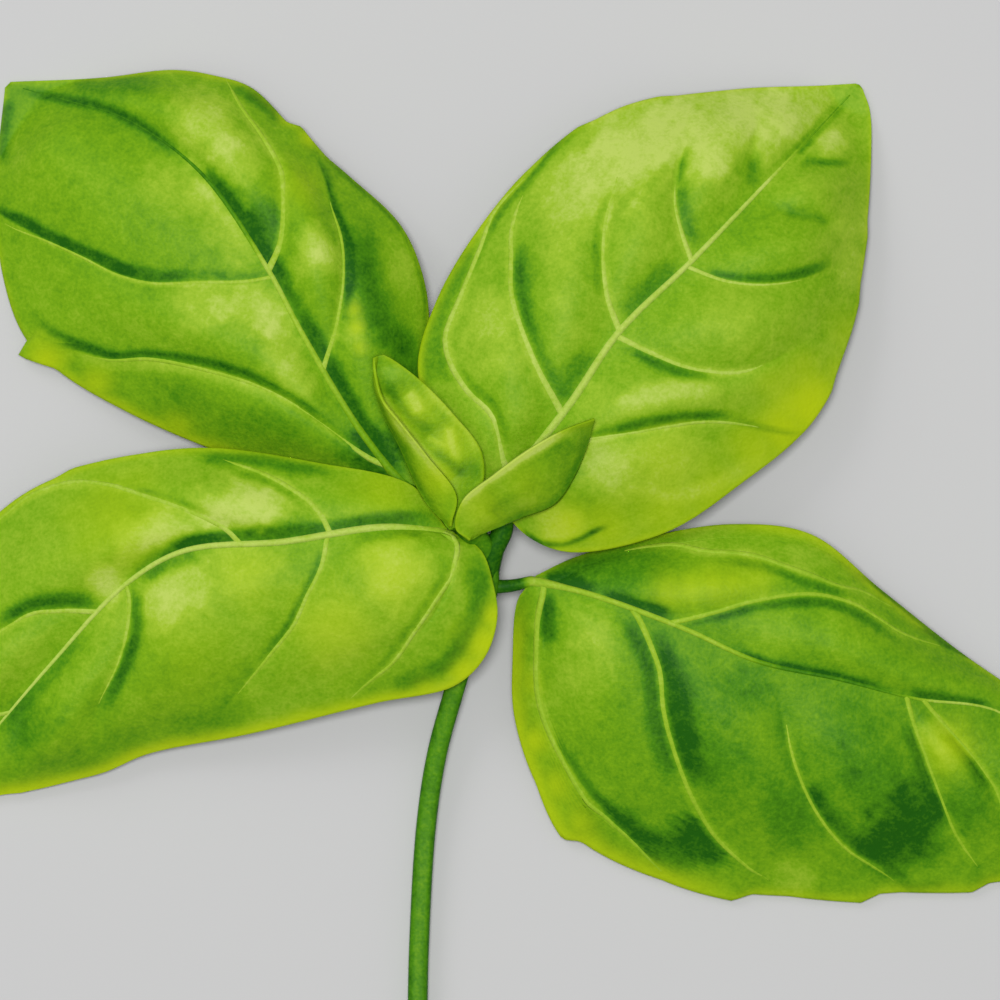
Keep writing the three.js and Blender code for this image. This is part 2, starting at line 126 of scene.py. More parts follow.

# A leaf, with left and right as seen from its base towards its tip:
#   green, crown, quilt   tone of the blade, height of its arch, height of the swell between veins
#   midrib, left, right   the midrib and the two margins, from base to tip
#   veins                 for each half, the side veins from midrib to margin, as (width of the rib, the
#                         shares of the vein that it runs from and to, points)
#   teeth                 for each half, as (share of the margin, height, share that the tooth rises over)
#   vein_tone             tone of the side veins
#   rib                   width of the midrib's rib, and its tone by share of its length
#   petiole               the stalk's middle line from the stem to the blade, its radius and its tone
#   strokes               brushed lines as (change of tone, width, points); dark ones are painted shade, in creases beside veins and under overlapping parts, light ones painted highlights
#   patches, yellow       round spots as (x, y, reach, change of tone or share of yellow); a darker patch is painted shade, a lighter one a painted highlight
#   rims                  yellow margins as (half, from, to, width, share of yellow)
# Tones run from 0, the darkest green, to 1, the palest.
LEAVES = {}
LEAVES["leaf_back_right"] = dict(
    piece="back_right_leaf", green=0.52, vein_tone=0.9, crown=2.6, quilt=1.2,
    midrib=[(-0.5, 0.5, 9.6), (8.3, 11.5, 11.8), (14.3, 20.3, 12), (23, 28.8, 10.8), (32, 38.2, 7.4),
        (38, 44.5, 3.2), (43.5, 50.35, -2.5)],
    left=[(-1.3, 0.8, 9.5), (-7.5, 8.5, 8.8), (-9.9, 16, 8.1), (-7.7, 24, 7.3), (-3, 32.2, 6.5),
        (4.2, 40.7, 5.4), (14, 47.2, 3.9), (28, 49.7, 2.2), (38, 50.2, 0.8), (43, 50.5, -2.5)],
    right=[(-0.4, -0.4, 9.5), (3.5, -4.4, 9.2), (8.5, -6.2, 8.8), (20, -3.8, 7.9), (28.7, 1.8, 6.9),
        (37.5, 9.4, 5.5), (42.2, 20, 4.1), (44.2, 32, 2.7), (44.9, 42, 1.3), (44.8, 47, 0),
        (43.9, 49.8, -2.5)],
    veins=([
        (0.8, 0, 0.9, [(1, 2.5), (0.3, 5.2), (-0.8, 10), (-4, 13.5), (-6.3, 18), (-6.3, 20.5), (-4.5, 25),
            (-2.5, 30), (-0.5, 35), (3, 38.8), (6, 42.5)]),
        (0.85, 0, 0.75, [(7.3, 10.5), (4.8, 15.5), (2.8, 20), (1.5, 25), (1.3, 29), (1.6, 33), (3, 37),
            (9, 44.5)]),
        (0.75, 0, 0.65, [(14.3, 20.5), (12.8, 25), (12.3, 30), (12.8, 34), (14, 38.3), (17.5, 48.2)]),
        (0.65, 0, 0.45, [(23, 28.8), (21.8, 32), (21, 36), (21.4, 40), (22.7, 44), (24, 49.2)]),
        (0, 0, 0, [(30.5, 37), (30.3, 40), (31, 45), (32, 49.8)]),
    ], [
        (0.6, 0, 0.85, [(3.2, 4.9), (7, 6.6), (11.5, 7.5), (16, 8.2), (20, 9), (25, 9.5), (30, 9),
            (34.5, 8.2), (37, 8)]),
        (0.7, 0, 0.6, [(14.5, 19.5), (18, 17.8), (22, 16.2), (25, 15.6), (29, 15.5), (33, 17), (36, 19),
            (43.3, 24)]),
        (0.5, 0, 0.65, [(22.8, 27.6), (27, 26.4), (31, 26), (36, 26.6), (41, 28.8), (44.2, 31.5)]),
        (0, 0, 0, [(30.5, 36.5), (34, 34.9), (37, 34.3), (40.5, 33.6), (44.6, 35.5)]),
        (0, 0, 0, [(35, 41.2), (38, 40.8), (42.5, 40.8), (44.8, 41.5)]),
    ]),
    teeth=(
        [(0.6, 0.3, 0.08), (0.72, 0.3, 0.08)],
        [(0.56, 0.3, 0.08), (0.69, 0.3, 0.08), (0.78, 0.3, 0.08)],
    ),
    rib=(1.25, [(0, 0.9), (0.72, 0.95), (0.84, 0.4), (1, 0.4)]),
    petiole=([(-1.6, -8.6, 7), (-0.8, -5.8, 8.1), (0.3, -3.6, 8.8), (0.4, -1.2, 9.4)], 1.5, 0.05),
    strokes=[
        (-0.22, 1.5, [(-8, 13), (-8.3, 18), (-7, 24), (-4.2, 29.5), (-1.5, 34)]),
        (-0.35, 0.6, [(-4, 26), (-2, 31), (0.2, 35.2), (3.5, 39), (6.5, 42.5), (11, 45.8)]),
        (-0.25, 0.7, [(-5.7, 17), (-3.8, 14.2), (-0.6, 11), (0.9, 6)]),
        (-0.3, 1, [(7.8, 11.5), (5.7, 15.5), (3.8, 20), (2.5, 25), (2.3, 29), (2.6, 33)]),
        (-0.14, 2.2, [(4.5, 20), (3.5, 25), (3.5, 31)]),
        (-0.25, 1.2, [(7.6, 12), (8.5, 15), (11, 18.6)]),
        (-0.22, 0.5, [(12.1, 24.5), (11.6, 30), (12.1, 34), (13.4, 38.3)]),
        (-0.26, 1.3, [(15, 22), (18, 25.7), (21.5, 29)]),
        (-0.32, 0.9, [(24, 30.5), (22.6, 33), (21.8, 36.5), (21.4, 39.5), (21.8, 42), (22.8, 44.5)]),
        (-0.28, 0.9, [(30.4, 37.5), (30.4, 41), (31, 44.8)]),
        (-0.12, 1, [(28.8, 39), (28.8, 42.5)]),
        (-0.22, 0.45, [(33.5, 40.5), (37, 43.9), (40, 47.3), (42.3, 49.3)]),
        (-0.25, 0.45, [(35.5, 41.5), (38.5, 44.5), (42, 48.6)]),
        (-0.42, 0.7, [(9, 6.8), (13, 8.2), (17, 9.3), (21, 10), (26, 10.2), (30, 9.6)]),
        (-0.25, 0.5, [(28, 9.6), (31, 9), (34, 8.3), (37, 7.8)]),
        (-0.4, 0.75, [(23.8, 27.3), (27, 26.9), (31, 26.6), (36, 27.3), (39, 28.3), (41, 29.4)]),
        (-0.2, 0.7, [(34, 34.9), (37, 34.3), (40.3, 33.4)]),
        (-0.3, 0.5, [(36, 41), (38, 40.9), (42.5, 40.8)]),
        (-0.4, 0.8, [(15.2, 18.6), (18, 17), (22, 15.4), (26, 14.8)]),
        # Painted shadow cast by the right young leaf
        (-0.14, 0.9, [(7.3, 0.8), (9, 4), (10.3, 7.5)]),
        # Painted shade under the rolled lower lobe
        (-0.5, 0.45, [(2.5, -3.4), (4.5, -4.9), (7.5, -5.2), (9.5, -4.6), (11.5, -3.6), (14, -2.6)]),
        (0.3, 1.5, [(13, 10.8), (17, 12.3), (22, 13.4), (27, 13)]),
        (0.22, 1, [(16, 1.8), (20, 0.6), (25, 1.5), (30, 4), (33, 6)]),
    ],
    patches=[(26, 46, 7, 0.33), (17, 44.5, 6, 0.3), (9, 37, 5, 0.25), (25, 40.5, 2.5, 0.2),
        (14, 40.5, 5, 0.2), (33, 43.5, 3, 0.18), (32, 48, 3.5, 0.2), (37, 47.5, 4, 0.25),
        (39.8, 43.2, 1.8, 0.35), (12.5, 4.3, 4, 0.3), (20, 5.5, 4, 0.2), (-1, 22, 3, 0.22),
        (-3, 16.5, 3, 0.1), (1, 17, 2.5, 0.1), (6, 24, 2.5, 0.12), (7, 29, 3, 0.1), (11, 12.8, 2.5, 0.12),
        # (9, 0.2) is painted shade next to the right young leaf
        (32, 31, 5, -0.06), (43, 34, 3, 0.14), (42.5, 28, 2.5, 0.16), (9, 0.2, 3.5, -0.15),
        (7.5, -2.7, 2.8, 0.3), (27.5, 22.5, 3.5, 0.12), (17, 32, 4, 0.05)],
    yellow=[(37.5, 11, 5, 1), (34.5, 8.5, 4, 0.9), (31, 6, 4, 0.6), (41, 15, 3, 0.5), (42.5, 20, 3, 0.3),
        (26, 0, 5, 0.5), (20, -1.5, 5, 0.45), (13, -3.5, 4, 0.5), (8, -3, 3, 0.7), (20, 4, 5, 0.3)],
    rims=[(LEFT, 0.1, 0.5, 0.7, 0.6), (RIGHT, 0.1, 0.6, 1, 0.6)],
)
LEAVES["leaf_back_left"] = dict(
    piece="back_left_leaf", green=0.42, vein_tone=0.8, crown=2.8, quilt=1.4,
    midrib=[(-12.5, 2.8, 7.6), (-17.5, 9.5, 8.8), (-24, 20.5, 9.8), (-28, 28, 9.7), (-36, 39.5, 7.8),
        (-45, 46, 4.6), (-52.5, 48.4, 1.8), (-59.5, 50.4, -2.5)],
    left=[(-13.2, 2.1, 7.2), (-18, 1.6, 5.2), (-26, 3.4, 4), (-36, 6.7, 3.2), (-45, 10.7, 2.4),
        (-53, 15.4, 1.6), (-57.6, 20, 1), (-60.3, 28, 0.7), (-61, 38, 0.6), (-59.9, 50, -2.5)],
    right=[(-9.7, 1.6, 7.4), (-9.3, 9, 6.9), (-8.5, 18.5, 6), (-9, 26, 5.4), (-11.8, 33, 4.8),
        (-18.2, 39.2, 4.1), (-24.3, 44.3, 3.4), (-30, 49.9, 2.6), (-34.5, 51.4, 2), (-39.5, 52.1, 1.5),
        (-48, 51.2, 0.8), (-59.2, 50.7, -2.5)],
    veins=([
        (0.75, 0, 0.85, [(-13.5, 4.2), (-16, 5.3), (-20, 8.2), (-24.5, 11.5), (-29, 13.9), (-35, 15.8),
            (-42, 17), (-47, 17), (-51, 18), (-54, 18.4), (-57.6, 20)]),
        (0.45, 0, 0.98, [(-27.5, 26.8), (-31, 26.2), (-36, 26.2), (-42, 26.1), (-45.5, 27), (-50, 29.2),
            (-55, 31.5), (-60.6, 34.6)]),
    ], [
        (0.6, 0, 0.7, [(-20.8, 16), (-19.8, 20.5), (-19, 25), (-18.9, 28), (-19.3, 32), (-20.3, 35),
            (-21.3, 39), (-22.3, 41.5), (-24.3, 44.3)]),
        (0.8, 0, 0.98, [(-27.5, 28), (-26.3, 31), (-26, 36), (-26.5, 40), (-28.5, 43.5), (-31, 47),
            (-33.7, 51)]),
    ]),
    teeth=([(0.582, 1.9, 0.035)], [(0.56, 0.9, 0.05)]),
    rib=(1, [(0, 0.4), (0.25, 0.7), (0.42, 0.85), (0.49, 0.3), (0.6, 0.15), (1, 0.15)]),
    petiole=([(-2.2, -5.2, 8), (-5.5, -2.9, 7.4), (-9, 0, 7.2)], 0.9, 0.1),
    strokes=[
        (-0.35, 0.7, [(-58, 49.6), (-54, 48.8), (-49, 47.8), (-45, 46.3), (-41, 43.6), (-37, 40.7)]),
        (-0.5, 1.1, [(-36, 40), (-33.5, 37.4), (-31.3, 34.4), (-29, 31), (-27, 28), (-25.4, 25)]),
        (-0.4, 0.9, [(-27, 28), (-24.5, 23.6), (-22, 19.4), (-19.5, 15), (-17, 10.5), (-14.6, 6.5),
            (-12.5, 3.5)]),
        (-0.4, 0.7, [(-22.3, 41.5), (-21.2, 39), (-20.1, 35.5), (-19, 33), (-18.2, 30), (-18.1, 27),
            (-18.6, 23.5), (-19.4, 20.5)]),
        (-0.32, 2, [(-18, 34), (-16.6, 30), (-15.5, 25), (-13.5, 20.5), (-11.3, 17.5), (-11, 10),
            (-12, 5)]),
        (-0.4, 0.65, [(-57, 23.3), (-54.5, 20.8), (-51, 19.1), (-47, 17.6), (-42, 17.6), (-36, 16.8),
            (-31, 15.4), (-26.5, 13.1), (-21.5, 10), (-17, 6.3)]),
        (-0.3, 0.8, [(-27.8, 26.8), (-32, 26.9), (-37, 27.1), (-42, 27.1), (-46, 28.4)]),
        (-0.58, 0.8, [(-43, 27), (-47, 28.6), (-51, 30.3), (-55, 32.2), (-58.5, 34), (-63, 36)]),
        (-0.2, 1.5, [(-52, 50), (-46, 50.2), (-40, 50)]),
        (-0.28, 0.9, [(-32, 50.2), (-29, 48.3), (-26, 45.6)]),
        (-0.14, 2.2, [(-42, 12.7), (-34, 10.3), (-27, 9), (-21, 6.5)]),
        (-0.3, 1, [(-59.4, 49), (-60.2, 44), (-60.4, 40)]),
        (0.2, 0.7, [(-53, 18.5), (-47, 16.3), (-40, 16.1), (-34, 14.8), (-29, 13), (-24.5, 10.5)]),
        (0.2, 0.8, [(-37, 39), (-34, 35.6), (-31.3, 32), (-29, 28.6)]),
        (-0.3, 0.35, [(-22, 42.2), (-18.3, 38.9), (-12.1, 32.9), (-9.3, 26), (-8.9, 18)]),
    ],
    patches=[(-35.5, 45.5, 4, 0.33), (-31.7, 41.5, 3.2, 0.33), (-36, 36.5, 2.4, 0.22),
        (-33.5, 32.5, 2.6, 0.2), (-31.3, 29.6, 2.2, 0.16), (-36, 24, 3.6, 0.28), (-30.5, 23.7, 3.6, 0.32),
        (-26.5, 22.4, 2.8, 0.32), (-26, 18.2, 2.8, 0.28), (-24.5, 14.5, 2.6, 0.25), (-22.5, 31, 2, 0.33),
        (-20.7, 29, 1.7, 0.28), (-23.5, 28.3, 1.8, 0.2), (-28.3, 34, 2.3, -0.3), (-12, 29, 3, 0.14),
        # (-14.5, 5.5) and (-18, 6.5) are painted shade at the base, where the blade goes under
        (-18, 20, 1.6, 0.2), (-14.5, 5.5, 3.6, -0.4), (-18, 6.5, 2.5, -0.2), (-47, 23, 4, 0.06),
        (-40, 38, 3.4, 0.2)],
    yellow=[(-17.5, 23, 0.9, 0.6), (-17.2, 20.8, 0.9, 0.7), (-16.9, 18.5, 0.9, 0.5), (-55, 16.8, 2.6, 0.85),
        (-49, 14, 2.2, 0.6), (-39, 8.6, 2.2, 0.5), (-24, 38, 3, 0.3), (-23, 44, 1.2, 0.8)],
    rims=[(LEFT, 0.15, 0.56, 1.1, 0.6), (RIGHT, 0.55, 0.9, 0.6, 0.5)],
)
LEAVES["leaf_front_left"] = dict(
    piece="front_left_leaf", green=0.52, vein_tone=0.84, crown=2.4, quilt=1.2,
    midrib=[(-6.2, -3.9, 10), (-14, -3.2, 11.6), (-26, -4.9, 12), (-38, -6, 10.6), (-45, -10, 9),
        (-54, -19.5, 5.8), (-63, -30, 2.3), (-72, -41, -2.5)],
    left=[(-5.5, -3.9, 10.1), (-2.3, -5.9, 10.5), (-0.8, -10, 10.2), (-0.3, -14, 9.6), (-1.8, -18.8, 8.6),
        (-5.5, -22.3, 7.5), (-15, -24.4, 6.3), (-30, -28.1, 4), (-42.5, -30.6, 2.2), (-48, -32.9, 1.5),
        (-54, -34.3, 1), (-60, -35.5, 0.6), (-66, -37.6, 0.2), (-71.6, -41.5, -2.5)],
    right=[(-6.4, -3.3, 9.8), (-10.5, 1.8, 9.6), (-22, 4.6, 9), (-36, 6.4, 7.6), (-48, 4.6, 5.9),
        (-58, 0.5, 4.1), (-66, -7.5, 2.6), (-71, -17, 1.5), (-73.6, -29, 0.6), (-72.5, -40.6, -2.5)],
    veins=([
        (0.6, 0, 0.92, [(-6.8, -3.8), (-5.2, -5.5), (-5.5, -8), (-7.5, -11.5), (-10, -15.3), (-13.5, -19.8),
            (-18, -23.7), (-20, -25.4)]),
        (0.6, 0, 0.75, [(-20.5, -4.4), (-21.3, -7.5), (-23, -11), (-25, -15.2), (-28, -19), (-32.5, -24.2),
            (-36, -29.4)]),
        (0.5, 0, 0.6, [(-45, -10), (-44.6, -12), (-44.8, -16), (-46.2, -20), (-48.5, -24.5), (-52, -33.8)]),
        (0, 0, 0, [(-57, -23), (-58, -28), (-62, -36)]),
    ], [
        (0.7, 0, 0.8, [(-20.3, -4.2), (-21.5, -1.8), (-23.5, 0.4), (-28, 3), (-33, 4.7), (-37, 6.3)]),
        (0.65, 0, 0.95, [(-31, -5.3), (-33, -3.2), (-37, -1.3), (-42, 0.3), (-48, 1.9), (-53, 1.9),
            (-57, 0.3), (-60, -2), (-64, -5)]),
        (0.65, 0, 0.8, [(-48.5, -13.3), (-53, -13.2), (-57, -13.8), (-59.5, -15.3), (-64, -18),
            (-71.8, -20)]),
        (0.5, 0, 0.8, [(-59, -25.5), (-65, -27), (-73.5, -32)]),
    ]),
    teeth=([(0.83, 0.4, 0.08)], [(0.47, 0.4, 0.08), (0.72, 0.4, 0.08), (0.84, 0.4, 0.08)]),
    rib=(1.1, [(0, 0.7), (0.1, 0.92), (1, 0.95)]),
    petiole=([(-1.6, -9.5, 6.6), (-3.5, -7, 8.2)], 0.9, 0.2),
    strokes=[
        (-0.42, 0.9, [(-6, -2.2), (-12, -1.9), (-16, -2.4), (-20, -3.1), (-25, -3.4), (-30, -3.9),
            (-34, -4.3), (-38, -5.1), (-42, -6.8), (-46, -9.8)]),
        (-0.22, 0.6, [(-9, -3.8), (-14, -4.2), (-18, -5)]),
        (-0.25, 0.8, [(-27, -3.6), (-30, -3.9), (-34, -4.3), (-38, -5.1), (-41, -6.3)]),
        (-0.35, 0.7, [(-36, -6.6), (-40, -7.8), (-43.6, -10)]),
        (-0.18, 1, [(-37, -5), (-41, -6.4), (-45, -9)]),
        (-0.38, 0.7, [(-20.8, -5.3), (-22.2, -9), (-24.2, -13), (-26.7, -17), (-29.5, -20.3)]),
        (-0.15, 1.5, [(-29, -20), (-31.5, -23), (-34, -26)]),
        (-0.4, 0.9, [(-44.2, -10), (-43.7, -13), (-43.9, -16.5), (-45.3, -20), (-46.6, -23),
            (-48.5, -25.8)]),
        (-0.2, 0.6, [(-6, -7.5), (-8.2, -11.5), (-10.7, -15.3), (-14.2, -19.8), (-18, -23.2)]),
        (-0.36, 1.4, [(-3, -6), (-2.5, -10), (-3, -13.5), (-4.6, -17), (-7, -19.8), (-10.5, -21.5),
            (-15.5, -23)]),
        (-0.12, 1.6, [(-28, -25), (-42, -28), (-50, -31), (-58, -33)]),
        (-0.42, 1, [(-48, -12.3), (-52, -11.9), (-56, -12.3), (-58.8, -13.7), (-61, -16)]),
        (-0.22, 0.9, [(-50, -16), (-53, -19.6), (-56.5, -23.4), (-60, -27.4)]),
        (-0.3, 0.9, [(-37, 5.2), (-30, 5), (-25, 4.2), (-18, 3.2)]),
        (-0.2, 0.5, [(-24.5, 0.3), (-28, 2.3), (-33, 3.9)]),
        (-0.2, 0.5, [(-33, -2.6), (-37, -0.8), (-42, 0.9), (-46, 2)]),
    ],
    patches=[(-31, -0.8, 3.6, 0.36), (-27.5, -0.3, 2.2, 0.3), (-35.5, -1.8, 2.6, 0.26),
        (-40, -3.4, 2.8, 0.36), (-43.5, -5, 2.8, 0.3), (-47, -10, 2.4, 0.36), (-46, -14, 2.2, 0.08),
        (-38, -10, 3.6, 0.24), (-41, -12.5, 3, 0.26), (-31, -7, 4.5, 0.15), (-13, -8.5, 4, 0.22),
        (-20, -15.5, 4.5, 0.1), (-46, -2, 4, -0.08), (-57, -17.5, 2.6, 0.05), (-57, -26, 4, -0.16),
        (-42, -20.5, 3.4, -0.12), (-37, -24, 6, -0.08), (-48, -27.5, 6, -0.06), (-57, -30.5, 5, -0.12),
        (-15, 0.8, 3.5, -0.05)],
    yellow=[(-1.6, -17.3, 2.8, 1), (-4, -21, 2.4, 1), (-0.6, -14, 1.8, 0.9), (-9, -22.8, 1.8, 0.8),
        (-13, -8.5, 4, 0.5), (-20, -15, 5, 0.35), (-30, -9, 4, 0.3), (-14, 1.5, 4, 0.4), (-46, -2, 6, 0.4),
        (-38, -18, 6, 0.15)],
    rims=[(LEFT, 0.12, 0.95, 1.3, 0.9), (RIGHT, 0.25, 0.9, 0.7, 0.45)],
)
LEAVES["leaf_front_right"] = dict(
    piece="front_right_leaf", green=0.37, vein_tone=0.74, crown=2.4, quilt=1.2,
    midrib=[(4, -9.6, 7.2), (11, -11.3, 8.6), (22, -15.3, 9.8), (31, -19.3, 9.5), (41, -21.5, 8.5),
        (50, -23.8, 6.8), (60, -25.4, 4.4), (68, -31.6, 1.8), (75, -38.3, -2.5)],
    left=[(4.3, -9, 7), (9, -6.8, 6), (18, -4.3, 5.3), (28, -2.8, 4.9), (37.5, -4, 4.5), (46, -10.7, 3.8),
        (55, -17.8, 2.7), (65, -25, 1.5), (71.5, -31.5, 0.5), (75.4, -38, -2.5)],
    right=[(3.4, -10.1, 7), (2.1, -12, 6), (1.5, -19, 4.2), (1.7, -26, 2.7), (4.5, -34.5, 1.5),
        (9, -40.6, 0.9), (20, -46, 0.5), (34, -47.8, 0.4), (48, -47.4, 0.4), (60, -46, 0.4),
        (69, -43.4, 0.2), (74.8, -38.7, -2.5)],
    veins=([
        (0.65, 0.22, 0.95, [(5.5, -9.8), (10, -7.9), (15.5, -6.1), (20, -5.4), (25, -6.2), (30, -6.6),
            (35, -8.2), (40, -10), (44, -11.2), (47, -12.8), (50, -13.8)]),
        (0.6, 0, 0.9, [(20.5, -14.7), (26, -13.4), (30, -12.2), (35, -11.4), (40, -11.7), (44, -13.2),
            (48, -15.9), (54, -18), (57.5, -19.6)]),
    ], [
        (0.75, 0, 0.95, [(4.8, -9.9), (4.6, -15), (4.4, -20), (5, -25), (7, -30), (10.5, -35.5),
            (15, -40.3), (20, -45), (22, -46.8)]),
        (0.75, 0, 0.95, [(15.8, -13.2), (18, -17), (19.2, -20.5), (19.8, -25), (21, -30), (23, -35.5),
            (26, -40.5), (30, -44), (33.5, -46.5), (34.5, -47.9)]),
        (0.5, 0.22, 0.95, [(33, -20), (34.3, -26.5), (35, -30), (36.5, -34), (38.5, -38), (42, -42),
            (45.5, -44.2), (49.5, -47.5)]),
        (0.6, 0, 0.9, [(49, -23.7), (51, -30), (53, -35), (55, -40), (57.5, -43.8), (59.5, -46.2)]),
        (0.55, 0, 0.9, [(51, -24.2), (54.5, -28), (58, -32), (60, -35), (65, -44.8)]),
    ]),
    teeth=([], [(0.308, 1.2, 0.06), (0.52, 1.1, 0.08), (0.67, 1.1, 0.08), (0.8, 1, 0.08), (0.9, 1, 0.08)]),
    rib=(0.85, [(0, 0.75), (0.3, 0.75), (0.4, 0.2), (0.56, 0.2), (0.64, 0.85), (1, 0.8)]),
    petiole=([(-1.6, -10.4, 6.4), (1.5, -10.2, 6.7)], 0.9, 0.05),
    strokes=[
        (-0.35, 0.8, [(5, -9.2), (9, -9.8), (12.5, -11)]),
        (-0.42, 0.9, [(12, -11.3), (17, -12.7), (21.5, -13.8)]),
        (-0.42, 0.7, [(27.5, -17.8), (31, -19.2), (35, -20.1), (39, -20.9), (43, -21.9), (48, -23.1)]),
        (-0.3, 0.6, [(49, -23.1), (54, -23.8), (60, -24.8)]),
        (-0.36, 0.9, [(5.7, -11.2), (6, -14), (5.8, -17.5)]),
        (-0.32, 0.8, [(6.2, -28), (8.5, -32), (11.5, -35.9), (14.5, -38.8)]),
        (-0.4, 1.6, [(12.5, -37), (16.5, -40.2), (20.5, -42.3)]),
        (-0.3, 1, [(14.5, -13.8), (16.6, -17), (17.9, -20.5), (18.5, -25), (19.5, -30), (21.6, -35.5)]),
        (-0.36, 1.5, [(18, -15.5), (20.6, -20), (21.6, -25), (22.6, -30), (24.6, -35)]),
        (-0.5, 1.7, [(22.3, -38), (24.5, -41), (28, -43.4)]),
        (-0.28, 1.5, [(37, -34), (39.5, -38), (43, -41), (47, -43.3)]),
        (-0.15, 1, [(33.8, -24), (34.4, -29), (36, -33.5)]),
        (-0.28, 1.2, [(49.3, -26.5), (50.7, -31.5), (52.5, -36.5), (54, -40.5)]),
        (-0.25, 0.7, [(26, -7), (32, -8), (38, -10.2), (43, -12)]),
        (-0.32, 0.7, [(22, -14.8), (26, -13.9), (31, -12.8), (36, -12.2), (41, -12.7), (45, -14.7),
            (49, -17.2)]),
        (-0.28, 0.35, [(43, -8.2), (46, -10.9), (50, -14.1), (55, -18.1), (60, -21.7)]),
        (-0.28, 0.8, [(53, -27.8), (56.5, -31.3), (59, -35)]),
        (-0.12, 0.8, [(46, -45.2), (50, -46.6), (55, -46.6)]),
        (0.06, 1.3, [(20.5, -11.6), (25, -10.6), (31, -10), (36, -9.8)]),
    ],
    patches=[(10.5, -14.5, 3.8, 0.18), (11, -18.5, 4, 0.14), (8, -23, 4, 0.12), (24, -24, 4, -0.14),
        (25, -31, 4, -0.12), (43, -27, 4, -0.14), (40, -31, 4, -0.08), (52.7, -28.3, 2, 0.24),
        (54.6, -30.3, 2, 0.24), (56.5, -37, 3, -0.2), (33, -15.5, 4, 0.12), (41, -15.5, 4, 0.1),
        (30, -4.8, 4, 0.14), (38, -6, 3.6, 0.18), (35, -45.8, 3, 0.2), (46, -46.3, 2.5, 0.08),
        # (9, -7.6), (14.5, -8) and (20, -8) are painted shade under the back right leaf's margin
        (9, -7.6, 3, -0.2), (14.5, -8, 3.4, -0.18), (20, -8, 3, -0.08), (24, -3.8, 3, 0.14),
        (22, -42, 3, -0.3), (45.5, -34, 4.5, -0.2), (49.5, -38, 3.6, -0.3), (47, -41.5, 3.6, -0.34),
        (51.5, -41.8, 2.6, -0.2), (35, -38.5, 4, -0.2), (30, -34, 5, -0.1), (30, -22.5, 3, -0.14)],
    yellow=[(20.5, -10.8, 2.4, 0.5), (23, -10.5, 2.4, 0.55), (25.5, -10.2, 2.4, 0.55), (28, -9.9, 2.4, 0.5),
        (30.5, -9.7, 2.4, 0.4), (3.6, -22, 1.6, 0.5), (4, -29, 1.9, 0.8), (6.7, -34.5, 2, 0.7),
        (9.5, -39, 2, 0.6), (54, -29.5, 3, 0.5)],
    rims=[(RIGHT, 0.05, 0.5, 1.8, 0.75), (RIGHT, 0.45, 0.9, 1, 0.45), (LEFT, 0.3, 0.62, 1, 0.6)],
)
LEAVES["young_leaf_left"] = dict(
    piece="left_young_leaf", green=0.42, vein_tone=0.8, crown=0.5, quilt=0.3,
    midrib=[(-6, -3.2, 12.2), (-9.2, 0.4, 12.5), (-12, 6.5, 13.1), (-14.2, 11, 14), (-15.1, 14.5, 15),
        (-14.6, 17.4, 15.9)],
    left=[(-5.9, -3.1, 13.5), (-5.2, 0.6, 14.9), (-8.6, 5.2, 16.2), (-11.8, 9.2, 17), (-14, 12, 17.1),
        (-14.9, 15, 16.7), (-15.2, 17.1, 16.3)],
    right=[(-4.9, -3.2, 12.2), (-2.2, 1.5, 12.4), (-2.2, 5.8, 13), (-5.5, 10.3, 14), (-9.5, 14.4, 15),
        (-12.8, 16.9, 15.7), (-13.9, 17.5, 15.9)],
    petiole=([(-4.5, -3, 10.6), (-5.5, -3.1, 11.4)], 0.5, 0.2),
    strokes=[
        (0.4, 0.7, [(-14.8, 14), (-12.2, 9.5), (-9.2, 5.8), (-5.3, 0.8)]),
        (-0.25, 0.7, [(-15, 14), (-13.9, 10.5), (-11.8, 6), (-9, 0.6), (-7, -1.8)]),
        (-0.2, 0.8, [(-14, 14.5), (-12, 11.5), (-9.3, 9), (-6.8, 8.2)]),
        (-0.22, 0.7, [(-8, 6.2), (-5.5, 4), (-4.2, 2.5)]),
        (0.45, 0.8, [(-11.1, 13.2), (-10.2, 11.8), (-9.6, 10.2)]),
        (0.45, 0.6, [(-6.3, 9), (-5.7, 6.6), (-5, 4.6)]),
        (0.25, 0.35, [(-8.9, 7.6), (-7.4, 7), (-6, 6.4)]),
        (0.3, 0.6, [(-9.6, 14.4), (-6.4, 11), (-4.7, 9.5), (-3.2, 7.2), (-2.1, 4.5)]),
    ],
    patches=[(-3.6, 3.6, 1.2, -0.15), (-13, 14, 1.5, -0.1)],
    yellow=[(-7, 3, 3, 0.5), (-6, 7, 3, 0.5), (-10, 11, 3, 0.4)],
)
